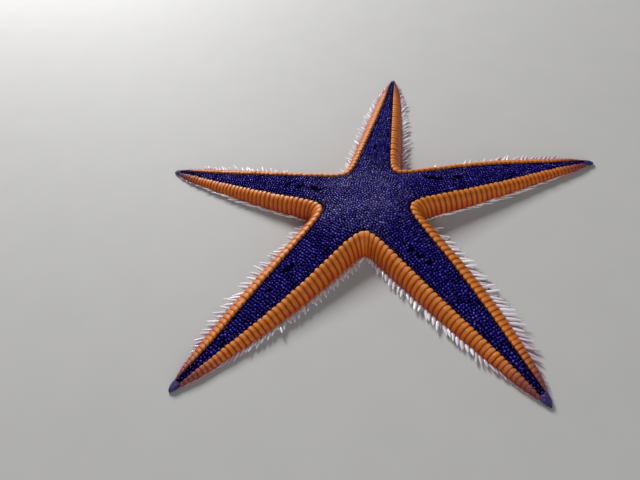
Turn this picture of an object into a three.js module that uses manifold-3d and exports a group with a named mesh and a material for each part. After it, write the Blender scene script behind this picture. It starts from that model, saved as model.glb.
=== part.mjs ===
// A royal starfish, Astropecten articulatus, lying flat: a domed disc with five tapering arms.
//
// Every arm has a soft, purple upper field between two raised margins. A margin is a row of tall
// arched plates, and each plate carries one flat spine at its foot. A furrow for the tube feet runs
// along the underside of every arm to the mouth, where five jaws meet.
//
// Millimetres, +Z up, +Y roughly along the back arm. The underside lies at z = 0, and the origin is
// at the middle of the animal's footprint.
import * as THREE from 'three';
import { mergeVertices } from 'three/addons/utils/BufferGeometryUtils.js';
import Module from 'manifold-3d';

// Driving dimensions.
const ARM_REACH = 90; // disc centre to the tip of an average arm
const DISC_CENTRE = new THREE.Vector2(0.2, -7.4); // from the middle of the footprint
const PLATES = 40; // marginal plates on each side of an arm
const PITCH_EASE = 0.28; // how much longer than average the plate at the notch is
const GAP = 0.15; // half of the clearance between two neighbouring pieces

// The purple field: half its width at the tip, and what the base adds to that.
const FIELD_TIP = 0.75;
const FIELD_TAPER = 8.0;
const FIELD_CURVE = 1.15;
const NOTCH_BLEND = 0.341; // 1/mm: how sharply two fields meet between the arms
const FOOT_BLEND = 0.9; // 1/mm: the same for the feet of their margins
const FAN_LENGTH = 6; // stretch over which the plates fan out from a notch

// Heights above the sea floor.
const TIP_HEIGHT = 2.1;
const BASE_RISE = 10.3;
const RISE_CURVE = 1.42;
const DISC_ROUNDING = 12; // radius within which the slope of the arms flattens out
const FIELD_SINK = 0.45; // the field's edge lies this much below the plates' crowns
const PILLOW_HEIGHT = 1.5; // how far the field swells up between the margins
const PILLOW_WIDTH = 4.0;

// The margins: width of a plate row, and of the row at the tip.
const MARGIN_TIP = 1.3;
const MARGIN_RISE = 3.2;
const GROOVE_DEPTH = 0.5; // between two plates
const SHOULDER_OUT = 0.68; // a plate's shoulder, as shares of its width and of its height
const SHOULDER_UP = 0.84;
const LEDGE_HEIGHT = 1.7; // where the wall turns in towards the spine
const FOOT_INSET = 0.5;
const SPINE_LENGTH = 4.4;
const SPINE_LEAN = 0.75; // distance towards the tip for each millimetre outwards
const SPINE_HEIGHT = 0.8;
const TERMINAL_LENGTH = 3.4; // the end plate that caps an arm
const TERMINAL_SHARE = 0.78; // its width against that of the arm's end

// The underside.
const FURROW_HALF = 1.6;
const FURROW_DEPTH = 3.0;
const FURROW_NARROWING = 0.65; // share of the width and of the depth that is lost by the tip
const FURROW_SHALLOWING = 0.85;
const MOUTH_RADIUS = 5.4;
const MOUTH_DEPTH = 2.8;
const ARM_START = 18; // where an arm is parted from the disc

// The jaws: distances from the middle of the mouth, half widths there, and heights.
const JAW_POINT = 1.3;
const JAW_POINT_HALF = 0.35;
const JAW_ROOT = 4.9;
const JAW_ROOT_HALF = 1.75;
const JAW_CLEARANCE = 0.4; // under a jaw
const JAW_THICKNESS = 2;

// The sieve plate in the disc: its place is the distance from the disc centre.
const MADREPORITE_RADIUS = 1.3;
const MADREPORITE_THICKNESS = 0.8;
const MADREPORITE_PLACE = 11.2;
const MADREPORITE_SINK = 1.0; // from the soft surface down to its bottom

// heading in degrees from +X; reach and girth against the average; bend2 and bend3 give the
// sideways sweep as parts of the reach; belly widens the field at mid-length, in millimetres.
const ARMS = [
  { name: 'back', heading: 84.6, reach: 1.0, bend2: 0.002, bend3: 0.001, girth: 0.95, belly: 0 },
  { name: 'left', heading: 163.5, reach: 0.988, bend2: 0.006, bend3: -0.003, girth: 0.98, belly: 0.5 },
  { name: 'front_left', heading: 235.1, reach: 1.03, bend2: -0.044, bend3: 0.011, girth: 1.05, belly: 1.0 },
  { name: 'front_right', heading: 307.7, reach: 0.993, bend2: 0.027, bend3: -0.055, girth: 1.08, belly: 0.8 },
  { name: 'right', heading: 379.7, reach: 0.985, bend2: 0.029, bend3: -0.078, girth: 1.0, belly: 1.4 },
];
const SIDES = [
  { name: 'left', sign: 1 },
  { name: 'right', sign: -1 },
];

const SKIN_PURPLE = { color: 0x251c5a, roughness: 0.62 };
const PLATE_ORANGE = { color: 0xc8681c, roughness: 0.45 };
const TERMINAL_VIOLET = { color: 0x2a1f63, roughness: 0.5 };
const JAW_CREAM = { color: 0xd9a878, roughness: 0.6 };
const MADREPORITE_MAUVE = { color: 0x6b4f86, roughness: 0.7 };

const wasm = await Module();
wasm.setup();

const degrees = THREE.MathUtils.degToRad;
const clamp = THREE.MathUtils.clamp;

// ---- The plan of an arm: x runs from the disc centre to the tip, y across it ----

for (const arm of ARMS) {
  arm.length = ARM_REACH * arm.reach;
  arm.direction = new THREE.Vector2(Math.cos(degrees(arm.heading)), Math.sin(degrees(arm.heading)));
  arm.across = new THREE.Vector2(-arm.direction.y, arm.direction.x);
}

function sweep(arm, x) {
  const u = x / arm.length;
  return arm.length * (arm.bend2 * u ** 2 + arm.bend3 * u ** 3);
}

function armToPlan(arm, x, y) {
  const bent = y + sweep(arm, x);
  return arm.direction.clone().multiplyScalar(x).addScaledVector(arm.across, bent);
}

function planToArm(arm, point) {
  const x = point.dot(arm.direction);
  return new THREE.Vector2(x, point.dot(arm.across) - sweep(arm, x));
}

function fieldHalf(arm, x) {
  const u = clamp(x / arm.length, 0, 1);
  const swell = arm.belly * Math.sin(Math.PI * clamp((u - 0.1) / 0.85, 0, 1)) ** 2;
  return arm.girth * (FIELD_TIP + FIELD_TAPER * (1 - u) ** FIELD_CURVE) + swell;
}

function marginWidth(arm, x) {
  const u = clamp(x / arm.length, 0, 1);
  return arm.girth * (MARGIN_TIP + MARGIN_RISE * (1 - u ** 4));
}

// The outline that an arm shares with its neighbour: beyond the field, or beyond the margin's foot.
const FIELD_OUTLINE = { half: fieldHalf, blend: NOTCH_BLEND };
const FOOT_OUTLINE = { half: (arm, x) => fieldHalf(arm, x) + marginWidth(arm, x), blend: FOOT_BLEND };

function neighbourOf(arm, sign) {
  const count = ARMS.length;
  return ARMS[(ARMS.indexOf(arm) + sign + count) % count];
}

// Distance outside the blended outline of two neighbouring arms, negative inside it.
function outside(outline, arm, sign, point) {
  let sum = 0;
  for (const member of [arm, neighbourOf(arm, sign)]) {
    const local = planToArm(member, point);
    const away = local.x > 0 ? Math.abs(local.y) : local.length();
    const beyond = away - outline.half(member, local.x);
    sum += Math.exp(-outline.blend * beyond);
  }
  return -Math.log(sum) / outline.blend;
}

// Finds where a function of one number crosses zero, rising, between two bounds.
function crossing(rising, low, high) {
  let below = low;
  let above = high;
  for (let step = 0; step < 40; step += 1) {
    const middle = (below + above) / 2;
    if (rising(middle) < 0) below = middle;
    else above = middle;
  }
  return (below + above) / 2;
}

function notchDirection(arm, sign) {
  const neighbour = neighbourOf(arm, sign);
  return arm.direction.clone().add(neighbour.direction).normalize();
}

// The innermost point of the outline in the notch, in the arm's own coordinates.
function notchPoint(outline, arm, sign) {
  const direction = notchDirection(arm, sign);
  const radius = crossing((r) => outside(outline, arm, sign, direction.clone().multiplyScalar(r)), 2, 40);
  return planToArm(arm, direction.multiplyScalar(radius));
}

// The outline's point beside the arm at x, looked for between the arm's middle and the notch's line.
function outlinePoint(outline, arm, sign, x) {
  const seam = planToArm(arm, notchDirection(arm, sign));
  const limit = Math.abs((seam.y / seam.x) * x);
  const beyond = (across) => outside(outline, arm, sign, armToPlan(arm, x, sign * across));
  return armToPlan(arm, x, sign * crossing(beyond, 0, limit));
}

// ---- Heights ----

function rimHeight(point) {
  const u = clamp(Math.hypot(point.length(), DISC_ROUNDING) / ARM_REACH, 0, 1);
  return TIP_HEIGHT + BASE_RISE * (1 - u) ** RISE_CURVE;
}

// The upper surface of the soft field, for a point at this distance inside its outline.
function fieldHeight(point, inside) {
  const pillow = PILLOW_HEIGHT * (1 - Math.exp(-Math.max(inside, 0) / PILLOW_WIDTH));
  const taper = clamp(rimHeight(point) / (TIP_HEIGHT + BASE_RISE), 0.3, 1);
  return rimHeight(point) - FIELD_SINK + pillow * taper;
}

// ---- Closed bodies ----

// Merges shared vertices, drops the triangles that collapsed, and turns the faces outwards.
function closedBody(geometry) {
  geometry.deleteAttribute('normal');
  geometry.deleteAttribute('uv');
  const merged = mergeVertices(geometry, 1e-3);
  const position = merged.getAttribute('position');
  const corners = [];
  let volume = 0;
  for (let i = 0; i < merged.index.count; i += 3) {
    const [a, b, c] = [0, 1, 2].map((k) => merged.index.getX(i + k));
    if (a !== b && b !== c && c !== a) {
      corners.push([a, b, c]);
      const [p, q, r] = [a, b, c].map((n) => new THREE.Vector3().fromBufferAttribute(position, n));
      volume += p.dot(q.cross(r)) / 6;
    }
  }
  merged.setIndex(corners.flatMap((face) => (volume < 0 ? face.toReversed() : face)));
  merged.computeVertexNormals();
  return merged;
}

// A body through rings of points: pointAt(row, column) is on the skin, and both ends are closed by
// fans around the middle of their rings.
function loft(rows, columns, pointAt) {
  const geometry = new THREE.CylinderGeometry(1, 1, 1, columns, rows - 1);
  const position = geometry.getAttribute('position');
  const ringMiddle = (row) => {
    const middle = new THREE.Vector3();
    for (let column = 0; column < columns; column += 1) middle.add(pointAt(row, column));
    return middle.divideScalar(columns);
  };
  for (let i = 0; i < position.count; i += 1) {
    const row = Math.round((0.5 - position.getY(i)) * (rows - 1));
    const turn = Math.atan2(position.getX(i), position.getZ(i)) / (2 * Math.PI);
    const column = (Math.round(turn * columns) + columns) % columns;
    const onAxis = Math.hypot(position.getX(i), position.getZ(i)) < 0.5;
    const place = onAxis ? ringMiddle(row) : pointAt(row, column);
    position.setXYZ(i, place.x, place.y, place.z);
  }
  return closedBody(geometry);
}

function toManifold(geometry) {
  const numbers = {
    numProp: 3,
    vertProperties: new Float32Array(geometry.getAttribute('position').array),
    triVerts: new Uint32Array(geometry.index.array),
  };
  return new wasm.Manifold(new wasm.Mesh(numbers));
}

function fromManifold(solid) {
  const mesh = solid.getMesh();
  const geometry = new THREE.BufferGeometry();
  geometry.setAttribute('position', new THREE.BufferAttribute(new Float32Array(mesh.vertProperties), 3));
  geometry.setIndex(Array.from(mesh.triVerts));
  geometry.computeVertexNormals();
  return geometry;
}

// ---- The margins: forty arched plates with a spine each ----

// Stations along the outline of the field from the notch to the end plate, two to a plate.
function rimStations(arm, sign) {
  const samples = 240;
  const crowding = 1.4;
  const start = notchPoint(FIELD_OUTLINE, arm, sign).x;
  const end = arm.length - TERMINAL_LENGTH - GAP;
  const xs = [];
  const lengths = [];
  let previous = null;
  for (let i = 0; i <= samples; i += 1) {
    const x = THREE.MathUtils.lerp(start, end, (i / samples) ** crowding);
    const point = outlinePoint(FIELD_OUTLINE, arm, sign, x);
    const step = previous ? point.distanceTo(previous) : 0;
    xs.push(x);
    lengths.push((lengths.at(-1) ?? 0) + step);
    previous = point;
  }
  const stations = [];
  let cursor = 1;
  for (let k = 0; k <= 2 * PLATES; k += 1) {
    const q = k / (2 * PLATES);
    const target = lengths.at(-1) * ((1 + PITCH_EASE) * q - PITCH_EASE * q * q);
    while (cursor < samples && lengths[cursor] < target) cursor += 1;
    const share = (target - lengths[cursor - 1]) / (lengths[cursor] - lengths[cursor - 1]);
    stations.push(THREE.MathUtils.lerp(xs[cursor - 1], xs[cursor], clamp(share, 0, 1)));
  }
  return stations;
}

function spineLength(q) {
  const fromNotch = Math.min(1, 0.35 + 4 * q);
  const toTip = 1 - 0.72 * THREE.MathUtils.smoothstep(q, 0.6, 1);
  return SPINE_LENGTH * fromNotch * toTip;
}

// The frame of one cross-section: the rim and the foot in the plan, and the way from one to the other.
function marginSection(arm, sign, stations, k) {
  const rimNotch = notchPoint(FIELD_OUTLINE, arm, sign);
  const footNotch = notchPoint(FOOT_OUTLINE, arm, sign);
  const x = stations[k];
  const shift = (footNotch.x - rimNotch.x) * Math.exp(-(x - rimNotch.x) / FAN_LENGTH);
  const rim = outlinePoint(FIELD_OUTLINE, arm, sign, x);
  const foot = outlinePoint(FOOT_OUTLINE, arm, sign, x + shift);
  const outwards = foot.clone().sub(rim);
  const width = outwards.length();
  outwards.divideScalar(width);
  const onwards = new THREE.Vector2(outwards.y, -outwards.x).multiplyScalar(sign);
  return { rim, outwards, onwards, width, height: rimHeight(rim) };
}

// Rings alternate between the crown of a plate, which carries the spine, and the groove beside it.
// A groove ring borrows the top and bottom inner corners of the ring before it, so that the wall
// towards the soft field stays plain.
function marginBody(arm, side) {
  const stations = rimStations(arm, side.sign);
  const rows = stations.length;
  const sections = stations.map((_, k) => marginSection(arm, side.sign, stations, k));
  const seam = notchDirection(arm, side.sign);
  const awayFromSeam = new THREE.Vector2(seam.y, -seam.x).multiplyScalar(side.sign * GAP);
  const pointAt = (row, column) => {
    const isCrown = row % 2 === 1 || row === 0 || row === rows - 1;
    const borrows = !isCrown && (column === 0 || column === 5);
    const { rim, outwards, onwards, width, height } = sections[borrows ? row - 1 : row];
    const q = row / (rows - 1);
    const isSpine = row % 2 === 1;
    const dip = isCrown ? 0 : GROOVE_DEPTH * Math.min(1, width / 4);
    const spine = isSpine ? spineLength(q) : 0;
    const spineHeight = SPINE_HEIGHT * (isSpine ? Math.min(1, height / 3) : 1);
    const corners = [
      [GAP, height, 0],
      [width * SHOULDER_OUT - dip / 2, height * SHOULDER_UP - dip, 0],
      [width - dip, LEDGE_HEIGHT * Math.min(1, height / 4), 0],
      [width - dip + spine, spineHeight, spine * SPINE_LEAN],
      [width - FOOT_INSET, 0, 0],
      [GAP, 0, 0],
    ];
    const [out, up, along] = corners[column];
    const plan = rim.clone().addScaledVector(outwards, out).addScaledVector(onwards, along);
    if (row === 0) plan.add(awayFromSeam);
    return new THREE.Vector3(plan.x, plan.y, up);
  };
  return loft(rows, 6, pointAt);
}

// ---- The soft core of an arm, with the furrow beneath it ----

function furrowHalf(x) {
  return FURROW_HALF * (1 - FURROW_NARROWING * clamp(x / ARM_REACH, 0, 1));
}

function furrowDepth(x) {
  return FURROW_DEPTH * (1 - FURROW_SHALLOWING * clamp(x / ARM_REACH, 0, 1));
}

function armBody(arm) {
  const start = ARM_START + GAP;
  const end = arm.length - TERMINAL_LENGTH - GAP;
  const rows = 9;
  const across = [1, 0.55, 0, -0.55, -1, -1, null, null, null, 1];
  const pointAt = (row, column) => {
    const x = THREE.MathUtils.lerp(start, end, (row / (rows - 1)) ** 1.3);
    const furrow = { 6: [-furrowHalf(x), 0], 7: [0, furrowDepth(x)], 8: [furrowHalf(x), 0] }[column];
    if (furrow) {
      const place = armToPlan(arm, x, furrow[0]);
      return new THREE.Vector3(place.x, place.y, furrow[1]);
    }
    const share = across[column];
    const sign = share < 0 ? -1 : 1;
    const middle = armToPlan(arm, x, 0);
    const rim = outlinePoint(FIELD_OUTLINE, arm, sign, x);
    const half = rim.distanceTo(middle) - GAP;
    const plan = armToPlan(arm, x, share * half);
    const height = column < 5 ? fieldHeight(plan, half * (1 - Math.abs(share))) : 0;
    return new THREE.Vector3(plan.x, plan.y, height);
  };
  return loft(rows, 10, pointAt);
}

// ---- The end plate: a blunt violet cap over both margins ----

function terminalBody(arm) {
  const start = arm.length - TERMINAL_LENGTH + GAP;
  const rows = 4;
  const ring = [[1, 0], [1, 0.55], [0.55, 1], [-0.55, 1], [-1, 0.55], [-1, 0]];
  const pointAt = (row, column) => {
    const share = [0, 0.45, 0.8, 1][row];
    const x = THREE.MathUtils.lerp(start, arm.length, share);
    const full = FOOT_OUTLINE.half(arm, start) * TERMINAL_SHARE;
    const half = full * (1 - (share * 0.92) ** 1.7);
    const height = (TIP_HEIGHT + 0.3) * (1 - (share * 0.8) ** 2);
    const plan = armToPlan(arm, x, ring[column][0] * half);
    return new THREE.Vector3(plan.x, plan.y, ring[column][1] * height);
  };
  return loft(rows, ring.length, pointAt);
}

// ---- The disc, its mouth and its jaws ----

// Outline of the disc, anticlockwise: round each notch on the plates' own stations, then straight
// across the root of every arm.
function discOutline() {
  const outline = [];
  for (const arm of ARMS) {
    const faceX = ARM_START - GAP;
    for (const sign of [-1, 1]) {
      const stations = rimStations(arm, sign).filter((x, k) => x < faceX - 0.8 && k % 2 === 1);
      const notch = notchPoint(FIELD_OUTLINE, arm, sign).x;
      const walk = sign < 0 ? stations : [...stations.toReversed(), notch];
      const points = walk.map((x) => outlinePoint(FIELD_OUTLINE, arm, sign, x));
      for (const point of points) point.setLength(point.length() - 1.6 * GAP);
      const corner = outlinePoint(FIELD_OUTLINE, arm, sign, faceX);
      const cornerLocal = planToArm(arm, corner);
      const inner = armToPlan(arm, faceX, cornerLocal.y - sign * 1.2 * GAP);
      outline.push(...(sign < 0 ? [...points, inner, armToPlan(arm, faceX, 0)] : [inner, ...points]));
    }
  }
  return outline;
}

function discBody() {
  const outline = discOutline();
  const nearestRim = (point) => {
    const gaps = ARMS.flatMap((arm) => SIDES.map((side) => outside(FIELD_OUTLINE, arm, side.sign, point)));
    return -Math.min(...gaps);
  };
  const rings = [[0.001, 1], [0.55, 1], [1, 1], [1, 0], [0.001, 0]];
  const pointAt = (row, column) => {
    const [share, top] = rings[row];
    const plan = outline[column].clone().multiplyScalar(share);
    return new THREE.Vector3(plan.x, plan.y, top ? fieldHeight(plan, nearestRim(plan)) : 0);
  };
  return loft(rings.length, outline.length, pointAt);
}

function furrowCutter(arm) {
  const shape = new THREE.Shape();
  shape.moveTo(-FURROW_HALF, 0);
  shape.lineTo(0, FURROW_DEPTH);
  shape.lineTo(FURROW_HALF, 0);
  shape.lineTo(FURROW_HALF, -1);
  shape.lineTo(-FURROW_HALF, -1);
  shape.closePath();
  const geometry = new THREE.ExtrudeGeometry(shape, { depth: ARM_START + 2, bevelEnabled: false });
  geometry.rotateX(Math.PI / 2);
  geometry.rotateZ(Math.PI + degrees(arm.heading - 90));
  return toManifold(closedBody(geometry));
}

function mouthCutter() {
  const geometry = new THREE.CylinderGeometry(MOUTH_RADIUS, MOUTH_RADIUS + 0.4, 2 * MOUTH_DEPTH, 20);
  geometry.rotateX(Math.PI / 2);
  return toManifold(closedBody(geometry));
}

// The sieve plate lies in the soft field near a notch, so the disc has a shallow bed for it.
const sieveArm = ARMS[0];
const sieveCentre = notchDirection(sieveArm, 1).multiplyScalar(MADREPORITE_PLACE);
const sieveTop = fieldHeight(sieveCentre, 4);

// A low cone with its bottom this far below the soft surface.
function sievePlate(topRadius, radius, height, sink) {
  const geometry = new THREE.CylinderGeometry(topRadius, radius, height, 12);
  geometry.rotateX(Math.PI / 2);
  geometry.translate(sieveCentre.x, sieveCentre.y, sieveTop - sink + height / 2);
  return closedBody(geometry);
}

function carvedDisc() {
  let solid = toManifold(discBody()).subtract(mouthCutter());
  for (const arm of ARMS) solid = solid.subtract(furrowCutter(arm));
  const bedRadius = MADREPORITE_RADIUS + 2 * GAP;
  const bed = sievePlate(bedRadius, bedRadius, 3, MADREPORITE_SINK + 2 * GAP);
  return fromManifold(solid.subtract(toManifold(bed)));
}

// A jaw is a blunt wedge between two furrows, pointing at the middle of the mouth.
function jawBody(arm) {
  const direction = notchDirection(arm, 1);
  const shape = new THREE.Shape();
  shape.moveTo(JAW_POINT, -JAW_POINT_HALF);
  shape.quadraticCurveTo(JAW_POINT - 0.3, 0, JAW_POINT, JAW_POINT_HALF);
  shape.lineTo(JAW_ROOT, JAW_ROOT_HALF);
  shape.lineTo(JAW_ROOT, -JAW_ROOT_HALF);
  shape.closePath();
  const options = { depth: JAW_THICKNESS, bevelEnabled: false, curveSegments: 2 };
  const geometry = new THREE.ExtrudeGeometry(shape, options);
  geometry.translate(0, 0, JAW_CLEARANCE);
  geometry.rotateZ(Math.atan2(direction.y, direction.x));
  return closedBody(geometry);
}

// ---- The whole animal ----

const starfish = new THREE.Group();
starfish.position.set(DISC_CENTRE.x, DISC_CENTRE.y, 0);

function add(name, geometry, finish) {
  const mesh = new THREE.Mesh(geometry, new THREE.MeshStandardMaterial({ ...finish, metalness: 0 }));
  mesh.name = name;
  starfish.add(mesh);
}

add('disc', carvedDisc(), SKIN_PURPLE);
const sieve = [0.8 * MADREPORITE_RADIUS, MADREPORITE_RADIUS, MADREPORITE_THICKNESS, MADREPORITE_SINK];
add('madreporite', sievePlate(...sieve), MADREPORITE_MAUVE);
for (const arm of ARMS) {
  add(`arm_${arm.name}`, armBody(arm), SKIN_PURPLE);
  for (const side of SIDES) add(`margin_${arm.name}_${side.name}`, marginBody(arm, side), PLATE_ORANGE);
  add(`tip_${arm.name}`, terminalBody(arm), TERMINAL_VIOLET);
  add(`jaw_left_of_${arm.name}`, jawBody(arm), JAW_CREAM);
}

export default starfish;
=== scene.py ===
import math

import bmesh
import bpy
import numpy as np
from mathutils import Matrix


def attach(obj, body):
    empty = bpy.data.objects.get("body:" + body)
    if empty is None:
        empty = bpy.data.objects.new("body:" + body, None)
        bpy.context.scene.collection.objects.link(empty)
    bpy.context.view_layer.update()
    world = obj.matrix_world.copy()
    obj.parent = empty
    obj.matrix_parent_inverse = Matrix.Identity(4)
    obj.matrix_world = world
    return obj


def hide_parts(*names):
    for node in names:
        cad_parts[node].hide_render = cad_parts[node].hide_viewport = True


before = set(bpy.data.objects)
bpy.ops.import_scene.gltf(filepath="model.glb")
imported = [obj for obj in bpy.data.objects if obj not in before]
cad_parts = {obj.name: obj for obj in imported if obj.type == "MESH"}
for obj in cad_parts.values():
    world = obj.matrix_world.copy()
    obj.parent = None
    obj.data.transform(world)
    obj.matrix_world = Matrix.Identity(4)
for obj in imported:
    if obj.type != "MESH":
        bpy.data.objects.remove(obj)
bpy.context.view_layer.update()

# %% [markdown]
# # A royal starfish in Blender
#
# The animal is a flat, five-armed star. Its upper side is a soft, blue-violet skin that is covered
# with *paxillae*: tiny pillars, each with a crown of grains, packed like paving. Every arm is edged
# by two walls of arched, orange *marginal plates*, and a fringe of pale spines grows from the foot
# of each wall. Underneath, a furrow with two rows of tube feet runs along each arm to the mouth.
#
# A modeller could sculpt all this by hand, but it is a very regular animal, so here each part is a
# surface worked out by a formula. The CAD frame gives the room that each part must keep to.

MM = 0.001  # the shapes are worked out in millimetres, and Blender works in metres
rng = np.random.default_rng(7)

# %% [markdown]
# ## The plan of the star
#
# Five arms leave the disc. Each has a heading, a reach, a girth and a slight sweep to one side,
# because no living animal is a perfect star. Everything else is placed from this plan: `x` runs
# from the disc centre to the arm's tip, and `y` across the arm, to the left for someone who walks
# outwards.
#
# The alternative is one star drawn as a curve. Formulas in `x` and `y` are better here, because the
# plates, spines and paxillae all have to follow the same arms.

# %% The driving dimensions, as in the CAD model
ARM_REACH = 90.0  # from the disc centre to an arm's tip, before each arm's own reach
DISC_CENTRE = np.array([0.2, -7.4])
PLATES = 40  # marginal plates along one side of an arm
FIELD_TIP, FIELD_TAPER, FIELD_CURVE = 0.75, 8.0, 1.15  # half width of the soft field
MARGIN_TIP, MARGIN_RISE = 1.3, 3.2  # width of the walls
NOTCH_BLEND, FOOT_BLEND, FAN_LENGTH = 0.341, 0.9, 6.0  # roundness of the notches
TIP_HEIGHT, BASE_RISE, RISE_CURVE, DISC_ROUNDING = 2.1, 10.3, 1.42, 12.0  # height of the walls
FIELD_SINK, PILLOW_HEIGHT, PILLOW_WIDTH = 0.45, 1.5, 4.0  # the soft field between the walls
TERMINAL_LENGTH, TERMINAL_SHARE = 3.4, 0.78  # end plates
FURROW_HALF, FURROW_DEPTH = 1.6, 3.0
MOUTH_RADIUS, MOUTH_DEPTH = 5.4, 2.8
ARM_START = 18.0  # where an arm leaves the disc
# heading in degrees, reach, two terms of sweep, girth, and how much the middle of the arm swells
ARMS = {
    "back": (84.6, 1.0, 0.002, 0.001, 0.95, 0.0),
    "left": (163.5, 0.988, 0.006, -0.003, 0.98, 0.5),
    "front_left": (235.1, 1.03, -0.044, 0.011, 1.05, 1.0),
    "front_right": (307.7, 0.993, 0.027, -0.055, 1.08, 0.8),
    "right": (379.7, 0.985, 0.029, -0.078, 1.0, 1.4),
}
NAMES = list(ARMS)
HEADING, REACH, BEND2, BEND3, GIRTH, BELLY = np.array(list(ARMS.values())).T
LENGTH = ARM_REACH * REACH
ALONG = np.stack([np.cos(np.radians(HEADING)), np.sin(np.radians(HEADING))], -1)
ACROSS = np.stack([-ALONG[:, 1], ALONG[:, 0]], -1)
SIDES = [(arm, sign) for arm in range(len(NAMES)) for sign in (1, -1)]  # 1 is an arm's left side
print("arms", NAMES, "lengths in mm", LENGTH.round(1))


# %% From an arm to the plan and back
def side_name(side):
    """One side of an arm in words, as the CAD nodes are named."""
    arm, sign = side
    return f"{NAMES[arm]}_{'left' if sign > 0 else 'right'}"


def sweep(arm, x):
    """Sideways bend of the arm's middle line: length times (a u^2 + b u^3), with u = x / length."""
    u = x / LENGTH[arm]
    return LENGTH[arm] * (BEND2[arm] * u**2 + BEND3[arm] * u**3)


def to_plan(arm, x, y):
    """Plan point = x times the arm's direction + (y + sweep) times the direction across it."""
    x, y = np.broadcast_arrays(np.asarray(x, float), np.asarray(y, float))
    return x[..., None] * ALONG[arm] + (y + sweep(arm, x))[..., None] * ACROSS[arm]


def to_arm(arm, plan):
    """The inverse of to_plan: lengths along and across the arm."""
    x = plan @ ALONG[arm]
    return x, plan @ ACROSS[arm] - sweep(arm, x)


print("tips in mm:", [to_plan(arm, LENGTH[arm], 0).round(1).tolist() for arm in range(len(NAMES))])


# %% Widths of an arm
def share_along(arm, x):
    """How far out x is on an arm, as a share of its length between 0 and 1."""
    return np.clip(x / LENGTH[arm], 0, 1)


def field_half(arm, x):
    """Half the width of the soft field: girth (tip + taper (1 - u)^c), plus a sine squared."""
    u = share_along(arm, x)
    swell = BELLY[arm] * np.sin(np.pi * np.clip((u - 0.1) / 0.85, 0, 1)) ** 2
    return GIRTH[arm] * (FIELD_TIP + FIELD_TAPER * (1 - u) ** FIELD_CURVE) + swell


def margin_width(arm, x):
    """Width of the wall of plates: girth times (tip + rise (1 - u^4))."""
    return GIRTH[arm] * (MARGIN_TIP + MARGIN_RISE * (1 - share_along(arm, x) ** 4))


def foot_half(arm, x):
    """Half the width of the arm out to the foot of its wall."""
    return field_half(arm, x) + margin_width(arm, x)


print("half widths at the first row of crowns, in mm:", foot_half(np.arange(5), ARM_START).round(1))

# %% [markdown]
# Where two arms meet, their outlines blend into a rounded notch. A *smooth union* does that: the
# distance outside the pair is `-log(exp(-k a) + exp(-k b)) / k`, which is close to the smaller of
# the two distances and rounds the corner between them. A bisection then finds where it is zero.

# %% Outlines with rounded notches
# an outline is its half width and how sharply its notches are blended
FIELD = (field_half, NOTCH_BLEND)
FOOT = (foot_half, FOOT_BLEND)


def outside(outline, arm, sign, plan):
    """Smooth union of the distances outside an arm and its neighbour, negative inside them.

    Behind the disc centre an arm is closed by a half circle, so x and y count together there."""
    half, blend = outline
    total = 0
    for member in (arm, (arm + sign) % len(NAMES)):
        x, y = to_arm(member, plan)
        away = np.where(x > 0, np.abs(y), np.hypot(x, y))
        total = total + np.exp(-blend * (away - half(member, x)))
    return -np.log(total) / blend


def crossing(rising, low, high):
    """Bisection on whole arrays: the value between low and high where a rising function is zero."""
    low, high = np.array(low, float), np.array(high, float)
    for _ in range(40):
        middle = (low + high) / 2
        inside = rising(middle) < 0
        low, high = np.where(inside, middle, low), np.where(inside, high, middle)
    return (low + high) / 2


def notch_direction(arm, sign):
    """Unit vector midway between an arm and its neighbour."""
    direction = ALONG[arm] + ALONG[(arm + sign) % len(NAMES)]
    return direction / np.linalg.norm(direction)


def notch_x(outline, arm, sign):
    """The arm's own x at the innermost point of the notch."""
    direction = notch_direction(arm, sign)
    radius = crossing(
        lambda r: outside(outline, arm, sign, r[..., None] * direction), [2.0], [40.0]
    )
    return to_arm(arm, radius[..., None] * direction)[0][0]


def outline_plan(outline, arm, sign, x):
    """The outline's points beside the arm, searched from its middle line to the notch's line."""
    direction = notch_direction(arm, sign)
    radius = x / (direction @ ALONG[arm])
    limit = np.abs(to_arm(arm, radius[:, None] * direction)[1])
    y = crossing(lambda w: outside(outline, arm, sign, to_plan(arm, x, sign * w)), 0 * x, limit)
    return to_plan(arm, x, sign * y)


print("notches in mm along the arms:", [round(float(notch_x(FIELD, *side)), 1) for side in SIDES])

# %% [markdown]
# Each wall of plates starts at a notch and ends at the arm's tip. The plates get smaller towards
# the tip, so equal steps of `q` (0 at the notch, 1 at the tip) are longer near the disc. A table of
# arc length turns `q` into `x`.

# %% Walking along a wall of plates
PITCH_EASE = 0.28  # how much longer than average the first plate is
SLIM_FROM, SLIM_OVER, SLIM_SHARE = 0.84, 0.16, 0.58  # the last plates narrow to the end plate


def share_to_q(share):
    """The q where this share of the outline's length is reached: share = (1 + e) q - e q^2."""
    root = np.sqrt((1 + PITCH_EASE) ** 2 - 4 * PITCH_EASE * share)
    return (1 + PITCH_EASE - root) / (2 * PITCH_EASE)


def rim_table(arm, sign):
    """x and q at close steps along the outline, its length, and the x where it starts."""
    start, end = notch_x(FIELD, arm, sign), LENGTH[arm] - TERMINAL_LENGTH
    x = start + (end - start) * np.linspace(0, 1, 400) ** 1.4
    steps = np.linalg.norm(np.diff(outline_plan(FIELD, arm, sign, x), axis=0), axis=1)
    arc = np.concatenate([[0], np.cumsum(steps)])
    return {"x": x, "q": share_to_q(arc / arc[-1]), "length": arc[-1], "start": start}


RIM = {side: rim_table(*side) for side in SIDES}
FOOT_START = {side: notch_x(FOOT, *side) for side in SIDES}


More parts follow.
